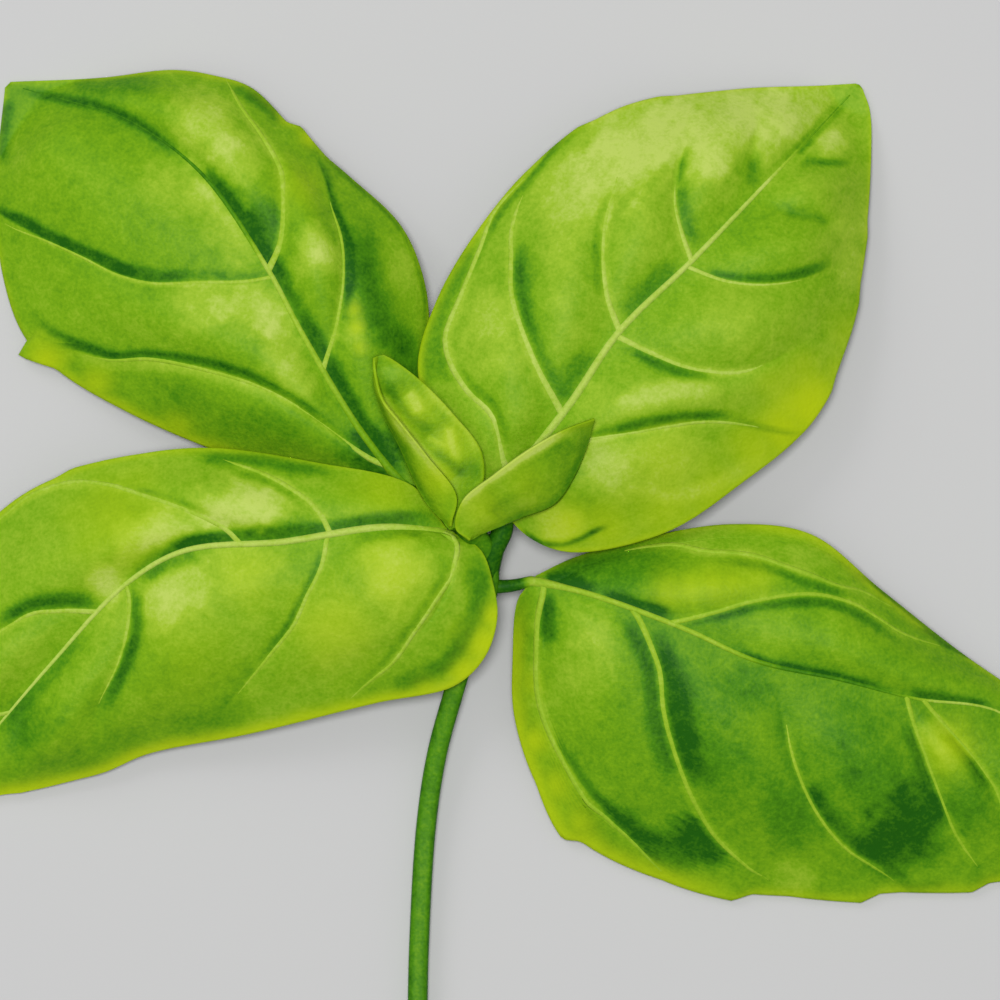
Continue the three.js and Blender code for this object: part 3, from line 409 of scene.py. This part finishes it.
LEAVES["young_leaf_right"] = dict(
    piece="right_young_leaf", green=0.44, vein_tone=0.8, crown=0.5, quilt=0.3,
    midrib=[(-3.5, -4.4, 13.2), (2.5, -2, 13.3), (6.6, -0.3, 13.5), (8.8, 2.8, 13.8), (10.3, 6.4, 14.6),
        (11.1, 9.2, 15.4)],
    left=[(-4.3, -3.5, 13.3), (-3.2, -1.2, 13.4), (-0.6, 2.2, 13.4), (3.5, 4.7, 13.5), (7.8, 7.1, 14),
        (10.1, 9.2, 15.2)],
    right=[(-3.6, -4.7, 14.5), (-5.3, -3.4, 15.1), (-4.5, 0, 16.6), (-0.9, 3, 18.1), (3.2, 6, 18.8),
        (7.5, 8.4, 18.4), (11.3, 9.8, 16.4)],
    petiole=([(-3.6, -3.8, 11), (-4.1, -4.3, 12.3)], 0.5, 0.2),
    strokes=[
        (0.7, 0.7, [(-4.7, -0.8), (-4.2, 0.4), (-2.2, 2.2), (0, 3.7), (3.2, 5.8), (7, 7.9), (9, 8.7)]),
        (-0.18, 0.5, [(10.6, 9), (9.6, 5.5), (8, 2), (6, -0.3), (2.6, -1.7), (-2, -3.7)]),
        (-0.07, 1.2, [(5, 5.6), (8, 6.5), (9.6, 7)]),
        (-0.12, 0.6, [(-2, -1.5), (1.5, 0.6), (5, 2.5)]),
    ],
    patches=[(7.5, 4.5, 2.6, -0.04), (-3, -1, 2, 0.12), (1.5, 2, 2, 0.06), (3.5, 0.5, 1.6, 0.08)],
    yellow=[(-2, -1, 3, 0.35), (3, 2, 3, 0.25)],
)

# A young leaf's creases, from a share of its midrib to a share of its margin, and their bend
YOUNG_VEINS = [(0.2, 0.36), (0.45, 0.6), (0.7, 0.8)]
YOUNG_BEND = 1.2
for young in ("young_leaf_left", "young_leaf_right"):
    LEAVES[young].update(folded=True, veins=([], []), teeth=([], []), rims=[])
    LEAVES[young].update(rib=(0.3, [(0, 0.4), (1, 0.4)]))

# The stem's middle line from foot to tip, its radius, how square it is, and the painted highlight that
# makes it lighter on top
STEM_PATH = [(-10, -74, 1.2), (-10, -66, 1.2), (-9.8, -54, 1.25), (-8.9, -39, 1.6), (-7.6, -30.5, 2.5),
             (-5.7, -23.5, 3.6), (-3.7, -17, 4.8), (-1.9, -12, 5.9), (-1.5, -8.6, 6.8), (-1.9, -6.2, 7.8),
             (-2.8, -4.5, 9.2), (-4, -3.4, 11)]
STEM_RADIUS = 1.2
STEM_SQUARE = 4
STEM_TOP_HIGHLIGHT = 0.18

# Joints of the stem: their places along y, swell and reach; and the pale face of its cut foot
STEM_JOINTS = (-10, -5.6)
JOINT_SWELL = 0.25
JOINT_REACH = 2.2
FOOT_INSET = 0.3
FOOT_TONE = 0.9


# Curves and the law of a blade

def curve(points, count=CURVE_STEPS):
    """Smooth curve through points, read by share of its length."""
    p = np.asarray(points, float)
    q = np.vstack([2 * p[0] - p[1], p, 2 * p[-1] - p[-2]])
    spans = len(p) - 1
    out = []
    for x in np.linspace(0, spans, count + 1):
        k = min(int(x), spans - 1)
        f = x - k
        p0, p1, p2, p3 = q[k:k + 4]
        a, b, c = (np.linalg.norm(e - s) ** 0.5 for s, e in ((p0, p1), (p1, p2), (p2, p3)))
        t1 = ((p1 - p0) / a - (p2 - p0) / (a + b) + (p2 - p1) / b) * b
        t2 = ((p2 - p1) / b - (p3 - p1) / (b + c) + (p3 - p2) / c) * b
        square = -3 * p1 + 3 * p2 - 2 * t1 - t2
        cube = 2 * p1 - 2 * p2 + t1 + t2
        out.append(p1 + t1 * f + square * f * f + cube * f ** 3)
    out = np.array(out)
    run = np.r_[0, np.cumsum(np.linalg.norm(np.diff(out, axis=0), axis=1))]
    run /= run[-1]
    return lambda t: np.stack([np.interp(t, run, axis) for axis in out.T], axis=-1)


def smooth(x, low, high):
    """A soft step from 0 at low to 1 at high."""
    t = np.clip((x - low) / (high - low), 0, 1)
    return t * t * (3 - 2 * t)


def unit(v):
    """Directions of length one."""
    return v / np.maximum(np.linalg.norm(v, axis=-1), TINY)[..., None]


def half_at(leaf, side, along):
    """Points of the midrib and of one margin at places along the leaf."""
    return leaf["curves"][MIDDLE](along), leaf["curves"][side](along)


def traced(leaf, side, points):
    """A side vein as (share of the way to the margin, place along the leaf) from midrib to margin."""
    along, w = np.meshgrid(np.linspace(0, 1, TRACE_ROWS), np.linspace(0, 1, TRACE_COLUMNS), indexing="ij")
    middle, edge = half_at(leaf, side, along)
    spots = (middle + (edge - middle) * w[..., None])[..., :2]
    found = []
    for n, point in enumerate(points):
        far = ((spots - point) ** 2).sum(-1)
        if n == 0:
            far[:, 1:] = np.inf
        if n == len(points) - 1:
            far[:, :-1] = np.inf
        k = np.unravel_index(far.argmin(), far.shape)
        found.append((w[k], along[k]))
    return np.array(found)


def crease(found):
    """The crease over a vein: a place along the leaf for each share of the way out, never too slanting."""
    across, along = found[:, 0].copy(), found[:, 1]
    for k in range(1, len(across)):
        across[k] = max(across[k], across[k - 1] + LEAST_STEP)
    for k in range(len(across) - 2, -1, -1):
        across[k] = min(across[k], across[k + 1] - LEAST_STEP)
    across[0] = 0
    steps = 100
    w = np.linspace(0, 1, steps + 1)
    place_at = np.interp(w, across, along)
    early, late = place_at.copy(), place_at.copy()
    for k in range(1, len(w)):
        late[k] = min(place_at[k], late[k - 1] + MOST_SLANT / steps)
        early[-k - 1] = max(place_at[-k - 1], early[-k] - MOST_SLANT / steps)
    padded = np.pad((early + late) / 2, EVENED // 2, "edge")
    both = np.convolve(padded, np.ones(EVENED) / EVENED, "valid")
    return lambda share: np.interp(share, w, both)


def ordered(lines, w):
    """Places of the creases at each share of the way out, kept in order from base to tip."""
    tracks = np.array([line(w) for line in lines])
    for k in range(1, len(tracks)):
        tracks[k] = np.maximum(tracks[k], np.minimum(1, tracks[k - 1] + LEAST_ROOM))
    return tracks


def lie_between(lines, ats, w):
    """Place along the leaf of each row and column, and each row's share of the cell between two creases."""
    tracks = ordered(lines, w)
    starts = ordered(lines, np.zeros(1))[:, 0]
    nxt = np.clip(np.searchsorted(starts, ats), 1, len(lines) - 1)
    share = (ats - starts[nxt - 1]) / (starts[nxt] - starts[nxt - 1])
    return tracks[nxt - 1] + (tracks[nxt] - tracks[nxt - 1]) * share[:, None], np.clip(share, 0, 1)


def share_at(lines, along, w):
    """Share of its cell at any place of a half."""
    tracks = ordered(lines, w)
    k = np.clip((tracks <= along).sum(0) - 1, 0, len(lines) - 2)
    n = np.arange(len(w))
    return np.clip((along - tracks[k, n]) / np.maximum(tracks[k + 1, n] - tracks[k, n], TINY), 0, 1)


def row_places(halves):
    """Where the rows of a blade leave the midrib: at each vein, and evenly spread between."""
    stops = sorted({round(float(at), 4) for lines in halves for at in ordered(lines, np.zeros(1))[:, 0]})
    ends = [lie_between(lines, np.array(stops), np.ones(1))[0][:, 0] for lines in halves]
    places = []
    for k, (at, to) in enumerate(zip(stops, stops[1:])):
        count = math.ceil(max([to - at] + [e[k + 1] - e[k] for e in ends]) / ROW_STEP)
        places += [at + (to - at) * n / count for n in range(count)]
    return np.array(places + [1.0])


def lay(leaf, side, along, w, share):
    """Points of a blade's middle surface, and the width of its half there."""
    middle, edge = half_at(leaf, side, along)
    out = edge - middle
    out[..., 2] = 0
    width = np.linalg.norm(out, axis=-1)
    full = 1 if leaf.get("folded") else np.minimum(1, width / FULL_WIDTH)
    taper = np.sqrt(np.maximum(0, 4 * along * (1 - along))) * (1 - smooth(along, *FLAT_TIP)) * full
    swell = np.maximum(0, np.sin(np.pi * share)) * smooth(w, *SWELL_RISE) * (1 - smooth(w, *SWELL_FALL))
    point = middle + (edge - middle) * w[..., None]
    point[..., 2] += taper * (leaf["crown"] * np.sin(np.pi * w) + leaf["quilt"] * swell)
    outward = unit(out)
    ahead = leaf["curves"][side](along + NUDGE) - leaf["curves"][side](along - NUDGE)
    ahead[..., 2] = 0
    ahead = unit(ahead)
    for peak, height, length in leaf["teeth"][side]:
        rise = np.maximum(0, np.minimum(1 - (peak - along) / length, 1 - (along - peak) / TOOTH_FALL))
        point += (outward + TOOTH_LEAN * ahead) * (height * rise * w ** TOOTH_KEEP)[..., None]
    point[..., 2] = np.maximum(point[..., 2], BLADE / 2)
    return point, width


def on_blade(leaf, side, lines, along, w):
    """Points on the middle surface of a finished blade."""
    along, w = np.clip(along, 0, 1), np.clip(w, 0, 1)
    return lay(leaf, side, along, w, share_at(lines, along, w))[0]


def vein_path(leaf, side, found, shares):
    """Shares of the way to the margin and places along the leaf, at shares of a vein's length."""
    w, along = np.clip(curve(found)(np.linspace(0, 1, CURVE_STEPS)).T, 0, 1)
    middle, edge = half_at(leaf, side, along)
    steps = np.diff(middle + (edge - middle) * w[:, None], axis=0)
    run = np.r_[0, np.cumsum(np.linalg.norm(steps, axis=1))]
    return np.interp(shares, run / run[-1], w), np.interp(shares, run / run[-1], along)


def off_line(line, x, y):
    """Distance of each place from a line, positive on its left."""
    nearest = ((x[:, None] - line[:, 0]) ** 2 + (y[:, None] - line[:, 1]) ** 2).argmin(1)
    ahead = np.gradient(line, axis=0)[nearest]
    cross = ahead[:, 0] * (y - line[nearest, 1]) - ahead[:, 1] * (x - line[nearest, 0])
    return cross / np.linalg.norm(ahead, axis=1)


def brush_lines(leaf):
    """A leaf's brushed lines: a pale band along each ribbed vein, and the strokes of painted shade and
    highlights. A dark stroke of painted shade that runs beside a vein comes with that vein and its mean
    distance from it."""
    even = np.linspace(0, 1, BRUSH_POINTS)
    ribs = [leaf["curves"][MIDDLE](even)[:, :2]]
    lines = []
    for side in (LEFT, RIGHT):
        for wide, start, stop, points in leaf["veins"][side]:
            if wide > 0:
                vein = curve(points, BRUSH_STEPS)
                ribs.append(vein(even))
                pale = BAND_TONE * (leaf["vein_tone"] - leaf["green"])
                lines.append((pale, BAND_WIDTH * wide, vein(start + even * (stop - start)), None, 0))
    for amount, wide, stops in leaf["strokes"]:
        path = curve(stops, BRUSH_STEPS)(even)
        gaps = [off_line(rib, path[:, 0], path[:, 1]) for rib in ribs]
        k = min(range(len(ribs)), key=lambda n: abs(gaps[n]).mean())
        distance = abs(gaps[k]).mean()
        hugs = amount < 0 and distance < BESIDE and abs(gaps[k].mean()) > ONE_SIDED * distance
        lines.append((amount, wide, path, ribs[k] if hugs else None, gaps[k].mean()))
    return lines


def waves(x, y, rows):
    return sum(height * np.sin(a * x + b * y + start) for height, a, b, start in rows)


def brushed(leaf, side, points, along, w, width, share):
    """Tone, with its painted shade and highlights, and share of yellow over one half of a blade."""
    x, y = points[..., 0], points[..., 1]
    rough = 1 + waves(x, y, ROUGH)
    # The blade's green, with a painted highlight along the swell between two veins
    tone = leaf["green"] + SWELL_HIGHLIGHT * np.sin(np.pi * share) * smooth(w, *SWELL_RISE)
    # Strokes: darker ones are painted shade, lighter ones painted highlights; a dark one beside a vein
    # stops at the vein's edge
    for amount, wide, path, rib, gap in leaf["brush"]:
        low, high = path.min(0) - STROKE_REACH * wide, path.max(0) + STROKE_REACH * wide
        near = (x > low[0]) & (x < high[0]) & (y > low[1]) & (y < high[1])
        if not near.any():
            continue
        far = (x[near][:, None] - path[:, 0]) ** 2 + (y[near][:, None] - path[:, 1]) ** 2
        run = far.argmin(1) / (len(path) - 1)
        fade = smooth(run, *STROKE_START) * (1 - smooth(run, *STROKE_END))
        far = far.min(1) * (rough[near] if amount < 0 else 1)
        if rib is not None:
            off = off_line(rib, x[near], y[near]) * np.sign(gap)
            far = far * np.where(off < abs(gap), BESIDE_FILL, 1)
            fade = fade * smooth(off, *VEIN_EDGE)
        tone[near] += amount * fade * np.exp(-(far / wide ** 2) ** STROKE_CRISP)
    ragged = rough + waves(x, y, RAGGED)
    # Patches: darker ones are painted shade, lighter ones painted highlights
    for px, py, reach, amount in leaf["patches"]:
        tone += amount * np.exp(-(ragged * ((x - px) ** 2 + (y - py) ** 2) / reach ** 2) ** PATCH_CRISP)
    inside = (1 - w) * width
    rim = EDGE_YELLOW * np.exp(-(inside / EDGE_WIDTH) ** 2)
    for half, start, stop, wide, amount in leaf["rims"]:
        if half == side:
            comes = smooth(along, start - RIM_START, start + RIM_START)
            goes = smooth(along, stop - RIM_STOP, stop + RIM_STOP)
            rim = np.maximum(rim, amount * comes * (1 - goes) * np.exp(-rough * (inside / wide) ** 2))
    for px, py, reach, amount in leaf["yellow"]:
        rim = np.maximum(rim, amount * np.exp(-rough * ((x - px) ** 2 + (y - py) ** 2) / reach ** 2))
    return np.clip(tone, LEAST_TONE, 1), rim * smooth(tone, 0, leaf["green"])


# Pieces

def place(v):
    """A point of the tables in the part's frame."""
    return Vector((v - CENTRE) * MM)


def new_piece_mesh():
    """An empty mesh whose corners carry a tone, which holds painted shade and highlights, a share of yellow
    and a mark for under faces.
    """
    bm = bmesh.new()
    return bm, [bm.verts.layers.float.new(label.lower()) for label in MARKS]


def sheet(bm, rows, columns):
    """A flat sheet of cells, its corners in order row by row."""
    made = bmesh.ops.create_grid(bm, x_segments=columns, y_segments=rows, size=1)["verts"]
    return sorted(made, key=lambda v: (round(v.co.y, 6), round(v.co.x, 6)))


def rod(bm, layers, path, radius, tone, sides, up=(0, 0, 1.0), under=0.0):
    """A closed rod along a path: a sheet rolled up, its seam merged and its ends filled."""
    path = np.asarray(path, float)
    along = unit(np.gradient(path, axis=0))
    level = unit(np.cross(along, up))
    above = np.cross(level, along)
    tone_of, _, under_of = layers
    verts = sheet(bm, len(path) - 1, sides)
    for i, v in enumerate(verts):
        r, c = divmod(i, sides + 1)
        turn = 2 * math.pi * (c % sides) / sides
        reach = radius(r, turn)
        p = path[r] + level[r] * reach * math.cos(turn) + above[r] * reach * math.sin(turn)
        p[2] = max(p[2], 0)
        v.co = place(p)
        v[tone_of], v[under_of] = tone(r, turn), under
    faces = {f for v in verts for f in v.link_faces}
    bmesh.ops.remove_doubles(bm, verts=verts, dist=1e-7)
    faces = [f for f in faces if f.is_valid]
    open_edges = list({e for f in faces for e in f.edges if e.is_boundary})
    caps = bmesh.ops.holes_fill(bm, edges=open_edges, sides=0)["faces"]
    bmesh.ops.recalc_face_normals(bm, faces=faces + caps)
    for f in faces + caps:
        f.smooth = True
    return caps


def into_scene(name, data):
    made = bpy.data.objects.new(name, data)
    scene.collection.objects.link(made)
    return made


def solid(bm, name, material):
    """A new object of a finished mesh."""
    mesh = bpy.data.meshes.new(name)
    bm.to_mesh(mesh)
    bm.free()
    mesh.materials.append(material)
    return into_scene(name, mesh)


def finish_piece(bm, name, node, material):
    """The mesh as a piece of the sprig that stands for a node."""
    piece = solid(bm, name, material)
    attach(piece, "root")
    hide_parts(node)


def square_to(points, halfway):
    """Directions square to each half of a blade, and between the two along the midrib."""
    square = np.zeros_like(points)
    for columns in (slice(0, halfway + 1), slice(halfway, None)):
        part = points[:, columns]
        square[:, columns] += unit(np.cross(np.gradient(part, axis=1), np.gradient(part, axis=0)))
    return unit(square)


def add_blade(bm, layers, leaf, halves):
    """The blade: a sheet laid by the leaf's law, with an under face and a thin edge."""
    folded = leaf.get("folded", False)
    w = np.linspace(0, 1, (COLUMNS // 2 if folded else COLUMNS) + 1)
    ats = row_places(halves)
    sides = []
    for side, lines in enumerate(halves):
        along, share = lie_between(lines, ats, w)
        across = np.broadcast_to(w, along.shape)
        cell = np.broadcast_to(share[:, None], along.shape)
        points, width = lay(leaf, side, along, across, cell)
        sides.append((points,) + brushed(leaf, side, points, along, across, width, cell))
    points, tone, rim = (np.concatenate([l[:, :0:-1], r], axis=1) for l, r in zip(*sides))
    square = square_to(points, len(w) - 1)
    if folded:
        depth = square * YOUNG_BLADE / 2
    else:
        depth = np.zeros_like(points)
        depth[..., 2] = BLADE / 2 / np.maximum(square[..., 2], STEEPEST)

    tone_of, rim_of, under_of = layers
    drop_of = bm.verts.layers.float_vector.new("drop")
    upper, drop = points + depth, depth * 2 * MM
    rows, columns = points.shape[:2]
    for i, v in enumerate(sheet(bm, rows - 1, columns - 1)):
        spot = divmod(i, columns)
        v.co = place(upper[spot])
        v[tone_of], v[rim_of], v[drop_of] = tone[spot], rim[spot], drop[spot]
    for v in bmesh.ops.extrude_face_region(bm, geom=bm.faces[:], use_keep_orig=True)["geom"]:
        if isinstance(v, bmesh.types.BMVert):
            v.co -= v[drop_of]
            v.co.z = max(v.co.z, 0)
            v[under_of] = 0.0 if folded else 1.0
    # The edge's faces come in no fixed order, so all faces are put in order by their corners
    bm.verts.index_update()
    count = len(bm.verts)
    bm.faces.sort(key=lambda f: min(v.index for v in f.verts) * count + max(v.index for v in f.verts))
    bmesh.ops.recalc_face_normals(bm, faces=bm.faces[:])
    for f in bm.faces:
        f.smooth = True
    bm.verts.layers.float_vector.remove(drop_of)


def under_tone(r, turn):
    return UNDER_TONE


def add_midrib(bm, layers, leaf, lift):
    """The stalk, which runs on as the midrib's rib, and the rib under the midrib of a large leaf."""
    wide, tones = leaf["rib"]
    stalk_path, thick, stalk_tone = leaf["petiole"]
    folded = leaf.get("folded", False)
    run = np.linspace(MIDRIB_START, YOUNG_MIDRIB_END if folded else MIDRIB_END, RIB_POINTS)
    spine = leaf["curves"][MIDDLE](run)
    spine[:, 2] = np.maximum(spine[:, 2], lift)
    if not folded:
        short = run[run < UNDER_END]
        keel = UNDER_RIB * wide * smooth(short, *UNDER_RISE) * (1 - smooth(short, *UNDER_FALL))
        below = spine[:len(short)] - (0, 0, lift)
        rod(bm, layers, below, lambda r, turn: keel[r], under_tone, RIB_SIDES, under=UNDER_SHARE)
    spine[:, 2] += MIDRIB_RISE * lift * smooth(run, *MIDRIB_UP)
    stalk = curve(stalk_path + [tuple(leaf["curves"][MIDDLE](0.0))])(np.linspace(0, 1, STALK_POINTS))
    path = np.vstack([stalk[:-1], spine])
    at = np.r_[np.linspace(-1, 0, STALK_POINTS - 1), run]
    stalk_size = thick * (1 - STALK_TAPER * (1 + np.minimum(at, 0)))
    rib_size = wide * (0.5 - MIDRIB_TAPER * at)
    size = np.where(at < 0, stalk_size, rib_size + (stalk_size - rib_size) * (1 - smooth(at, *SIZE_TURN)))
    shade = stalk_tone + (np.interp(at, *zip(*tones)) - stalk_tone) * smooth(at, *TONE_TURN)
    rod(bm, layers, path, lambda r, turn: size[r], lambda r, turn: shade[r], STALK_SIDES)


def add_side_ribs(bm, layers, leaf, halves, lift):
    """Ribs of the side veins on both faces, part sunk in the blade."""
    run = np.linspace(0, 1, RIB_POINTS)
    for side in (LEFT, RIGHT):
        for (thick, start, stop, _), found in zip(leaf["veins"][side], leaf["traces"][side]):
            if thick <= 0:
                continue
            w, along = vein_path(leaf, side, found, start + run * (stop - start))
            vein = on_blade(leaf, side, halves[side], along, w)
            out = on_blade(leaf, side, halves[side], along, w + 2 * NUDGE) - vein
            ahead = on_blade(leaf, side, halves[side], along + NUDGE, w) - vein
            square = unit(np.cross(ahead, out))
            square *= np.sign(square[:, 2:])
            thin = RIB_WIDTH * thick * (1 - RIB_TAPER * run) * (smooth(run, *RIB_RISE) if start else 1)
            sunk = RIB_SUNK + (1 - RIB_SUNK) * smooth(run, *RIB_SINK)
            rise = square * (lift - sunk * RIB_HEIGHT * thin)[:, None]
            shade = leaf["vein_tone"] - RIB_FADE * run

            def oval(r, turn):
                return thin[r] / math.hypot(math.cos(turn), math.sin(turn) / RIB_HEIGHT)

            rod(bm, layers, vein + rise, oval, lambda r, turn: shade[r], RIB_SIDES, square)
            rod(bm, layers, vein - rise, oval, under_tone, UNDER_SIDES, square, UNDER_SHARE)


def make_leaf(node, material):
    """A leaf from its table: blade, stalk and ribs in one piece."""
    leaf = LEAVES[node]
    folded = leaf.get("folded", False)
    leaf["curves"] = [curve(leaf[key]) for key in ("left", "right", "midrib")]
    leaf["brush"] = brush_lines(leaf)
    leaf["traces"] = []
    halves = []
    for side in (LEFT, RIGHT):
        traces = [traced(leaf, side, vein[-1]) for vein in leaf["veins"][side]]
        leaf["traces"].append(traces)
        if folded:
            creases = [lambda w, a=at, e=end: a + (e - a) * w ** YOUNG_BEND for at, end in YOUNG_VEINS]
        else:
            creases = [crease(found) for found in traces]
        halves.append([lambda w: 0 * w] + creases + [lambda w: 0 * w + 1])
    bm, layers = new_piece_mesh()
    lift = (YOUNG_BLADE if folded else BLADE) / 2
    add_blade(bm, layers, leaf, halves)
    add_midrib(bm, layers, leaf, lift)
    add_side_ribs(bm, layers, leaf, halves, lift)
    finish_piece(bm, leaf["piece"], node, material)


def make_stem(material):
    """A rounded square rod, swollen at its joints, with a painted highlight along its top and a pale cut
    face.
    """
    path = curve(STEM_PATH)(np.linspace(0, 1, STEM_POINTS))

    def radius(r, turn):
        swell = sum(JOINT_SWELL * math.exp(-(((path[r, 1] - y) / JOINT_REACH) ** 2)) for y in STEM_JOINTS)
        corner = abs(math.cos(turn)) ** STEM_SQUARE + abs(math.sin(turn)) ** STEM_SQUARE
        return (STEM_RADIUS + swell) / corner ** (1 / STEM_SQUARE)

    # Painted highlight: the rod's top is lighter
    def tone(r, turn):
        return STEM_TOP_HIGHLIGHT * max(0, math.sin(turn)) ** 3

    bm, layers = new_piece_mesh()
    caps = rod(bm, layers, path, radius, tone, STEM_SIDES)
    foot = min(caps, key=lambda f: f.calc_center_median().y)
    bmesh.ops.inset_individual(bm, faces=[foot], thickness=FOOT_INSET * MM)
    for v in foot.verts:
        v[layers[0]] = FOOT_TONE
    for f in [foot] + [n for e in foot.edges for n in e.link_faces]:
        f.smooth = False
    finish_piece(bm, "square_stem", "stem", material)


# Colours

def paint(*screen):
    """A colour given as it looks on a screen, from 0 to 255."""
    shares = [c / 255 for c in screen]
    return (*[c / 12.92 if c < 0.04045 else ((c + 0.055) / 1.055) ** 2.4 for c in shares], 1.0)


GREENS = [(0.0, paint(32, 94, 10)), (0.25, paint(78, 140, 14)), (0.5, paint(122, 172, 20)),
          (0.75, paint(158, 194, 48)), (1.0, paint(190, 212, 98))]
YELLOW = paint(190, 212, 16)
UNDER_GREEN = paint(142, 180, 84)
FLOOR_GREY = paint(205, 205, 205)

# Mottling, as (patches to a metre, change of tone, detail), the stem's fibres, as patches to a metre, the
# most yellow and under green, shine, and the bumps' strength and depth
MOTTLES = ((150, 0.22, 3), (700, 0.3, 3), (2400, 0.32, 2))
FIBRES = (1600, 60, 1600)
MOST_YELLOW, MOST_UNDER = 0.9, 0.75
SHINE = 0.08
BUMP, BUMP_DEPTH = 0.2, 0.0003


def shader(tree, kind, inputs, **settings):
    """A shader node whose inputs are values or outputs of other nodes."""
    made = tree.nodes.new(kind)
    for key, value in settings.items():
        setattr(made, key, value)
    for key, value in inputs.items():
        if isinstance(value, bpy.types.NodeSocket):
            tree.links.new(value, made.inputs[key])
        else:
            made.inputs[key].default_value = value
    return made


def sums(tree, operation, *values):
    return shader(tree, "ShaderNodeMath", dict(enumerate(values)), operation=operation).outputs[0]


def tissue_group():
    """Mottled green from a tone, which holds painted shade and highlights, turning yellow with rim and
    paler on the under face.
    """
    g = bpy.data.node_groups.new("leaf_tissue", "ShaderNodeTree")
    for label in MARKS:
        g.interface.new_socket(label, in_out="INPUT", socket_type="NodeSocketFloat")
    g.interface.new_socket("Color", in_out="OUTPUT", socket_type="NodeSocketColor")
    g.interface.new_socket("Height", in_out="OUTPUT", socket_type="NodeSocketFloat")
    marks = g.nodes.new("NodeGroupInput").outputs
    where = g.nodes.new("ShaderNodeTexCoord").outputs["Object"]
    tone, height = marks["Tone"], 0.0
    for scale, amount, detail in MOTTLES:
        inputs = {"Vector": where, "Scale": scale, "Detail": detail}
        noise = shader(g, "ShaderNodeTexNoise", inputs).outputs["Fac"]
        tone = sums(g, "MULTIPLY_ADD", noise, amount, sums(g, "SUBTRACT", tone, amount / 2))
        height = sums(g, "ADD", height, noise)
    ramp = shader(g, "ShaderNodeValToRGB", {"Fac": tone})
    elements = ramp.color_ramp.elements
    elements[0].position, elements[0].color = GREENS[0]
    elements[1].position, elements[1].color = GREENS[-1]
    for at, colour in GREENS[1:-1]:
        elements.new(at).color = colour
    colour = ramp.outputs["Color"]
    for label, most, tint in (("Rim", MOST_YELLOW, YELLOW), ("Under", MOST_UNDER, UNDER_GREEN)):
        inputs = {"Factor": sums(g, "MULTIPLY", marks[label], most), "A": colour, "B": tint}
        colour = shader(g, "ShaderNodeMix", inputs, data_type="RGBA").outputs["Result"]
    shader(g, "NodeGroupOutput", {"Color": colour, "Height": height})
    return g


def plain(name, colour, rough):
    """One colour, with little shine."""
    m = bpy.data.materials.new(name)
    m.use_nodes = True
    b = m.node_tree.nodes["Principled BSDF"]
    b.inputs["Base Color"].default_value = colour
    b.inputs["Roughness"].default_value = rough
    b.inputs["Specular IOR Level"].default_value = SHINE
    return m


def tissue(name, group, rough, streaks=0.0):
    """Living tissue: the shared group read from the piece's tone, with its painted shade and highlights,
    and fibres along a stem.
    """
    m = plain(name, GREENS[2][1], rough)
    t = m.node_tree
    marks = {}
    for label in MARKS:
        marks[label] = shader(t, "ShaderNodeAttribute", {}, attribute_name=label.lower()).outputs["Fac"]
    if streaks:
        where = t.nodes.new("ShaderNodeTexCoord").outputs["Object"]
        fibres = shader(t, "ShaderNodeMapping", {"Vector": where, "Scale": FIBRES}).outputs["Vector"]
        noise = shader(t, "ShaderNodeTexNoise", {"Vector": fibres, "Scale": 1}).outputs["Fac"]
        marks["Tone"] = sums(t, "MULTIPLY_ADD", noise, streaks, marks["Tone"])
    g = shader(t, "ShaderNodeGroup", marks, node_tree=group).outputs
    inputs = {"Height": g["Height"], "Strength": BUMP, "Distance": BUMP_DEPTH}
    bump = shader(t, "ShaderNodeBump", inputs).outputs["Normal"]
    b = t.nodes["Principled BSDF"]
    t.links.new(g["Color"], b.inputs["Base Color"])
    t.links.new(bump, b.inputs["Normal"])
    return m


group = tissue_group()
make_stem(tissue("stem", group, rough=0.5, streaks=0.2))
leaf_green = tissue("leaf", group, rough=0.5)
young_green = tissue("young_leaf", group, rough=0.45)
for node in LEAVES:
    if node.startswith("young"):
        make_leaf(node, young_green)
    else:
        make_leaf(node, leaf_green)


# Floor, light and camera, in metres

FLOOR_REACH = 1.5
FLOOR_GAP = 0.0001
WORLD_LIGHT = 0.24
CAMERA_HEIGHT = 1.513
CAMERA_SHIFT = 0.0001
LENS = 450
SENSOR = 36

bm = bmesh.new()
bmesh.ops.create_grid(bm, x_segments=1, y_segments=1, size=FLOOR_REACH)
bmesh.ops.translate(bm, verts=bm.verts[:], vec=(0, 0, -FLOOR_GAP))
floor = solid(bm, "floor", plain("floor", FLOOR_GREY, rough=0.9))

world = bpy.data.worlds.new("studio")
scene.world = world
world.use_nodes = True
light = world.node_tree.nodes["Background"].inputs
light["Color"].default_value = (1, 1, 1, 1)
light["Strength"].default_value = WORLD_LIGHT


def lamp(name, at, size, watts):
    """A square lamp that looks at the origin."""
    data = bpy.data.lights.new(name, "AREA")
    data.size = size
    data.energy = watts
    o = into_scene(name, data)
    o.location = at
    o.rotation_euler = (-Vector(at)).to_track_quat("-Z", "Y").to_euler()
    o.visible_camera = False


lamp("overhead", at=(-0.04, 0.06, 1.3), size=0.3, watts=11.2)
lamp("window", at=(-0.6, 0.6, 0.6), size=0.5, watts=1.8)

camera = into_scene("camera", bpy.data.cameras.new("camera"))
camera.data.sensor_width = SENSOR
camera.data.lens = LENS
camera.data.clip_end = 10
camera.location = (-CENTRE[0] * MM, -CENTRE[1] * MM + CAMERA_SHIFT, CAMERA_HEIGHT)
scene.camera = camera
scene.view_settings.view_transform = "Standard"
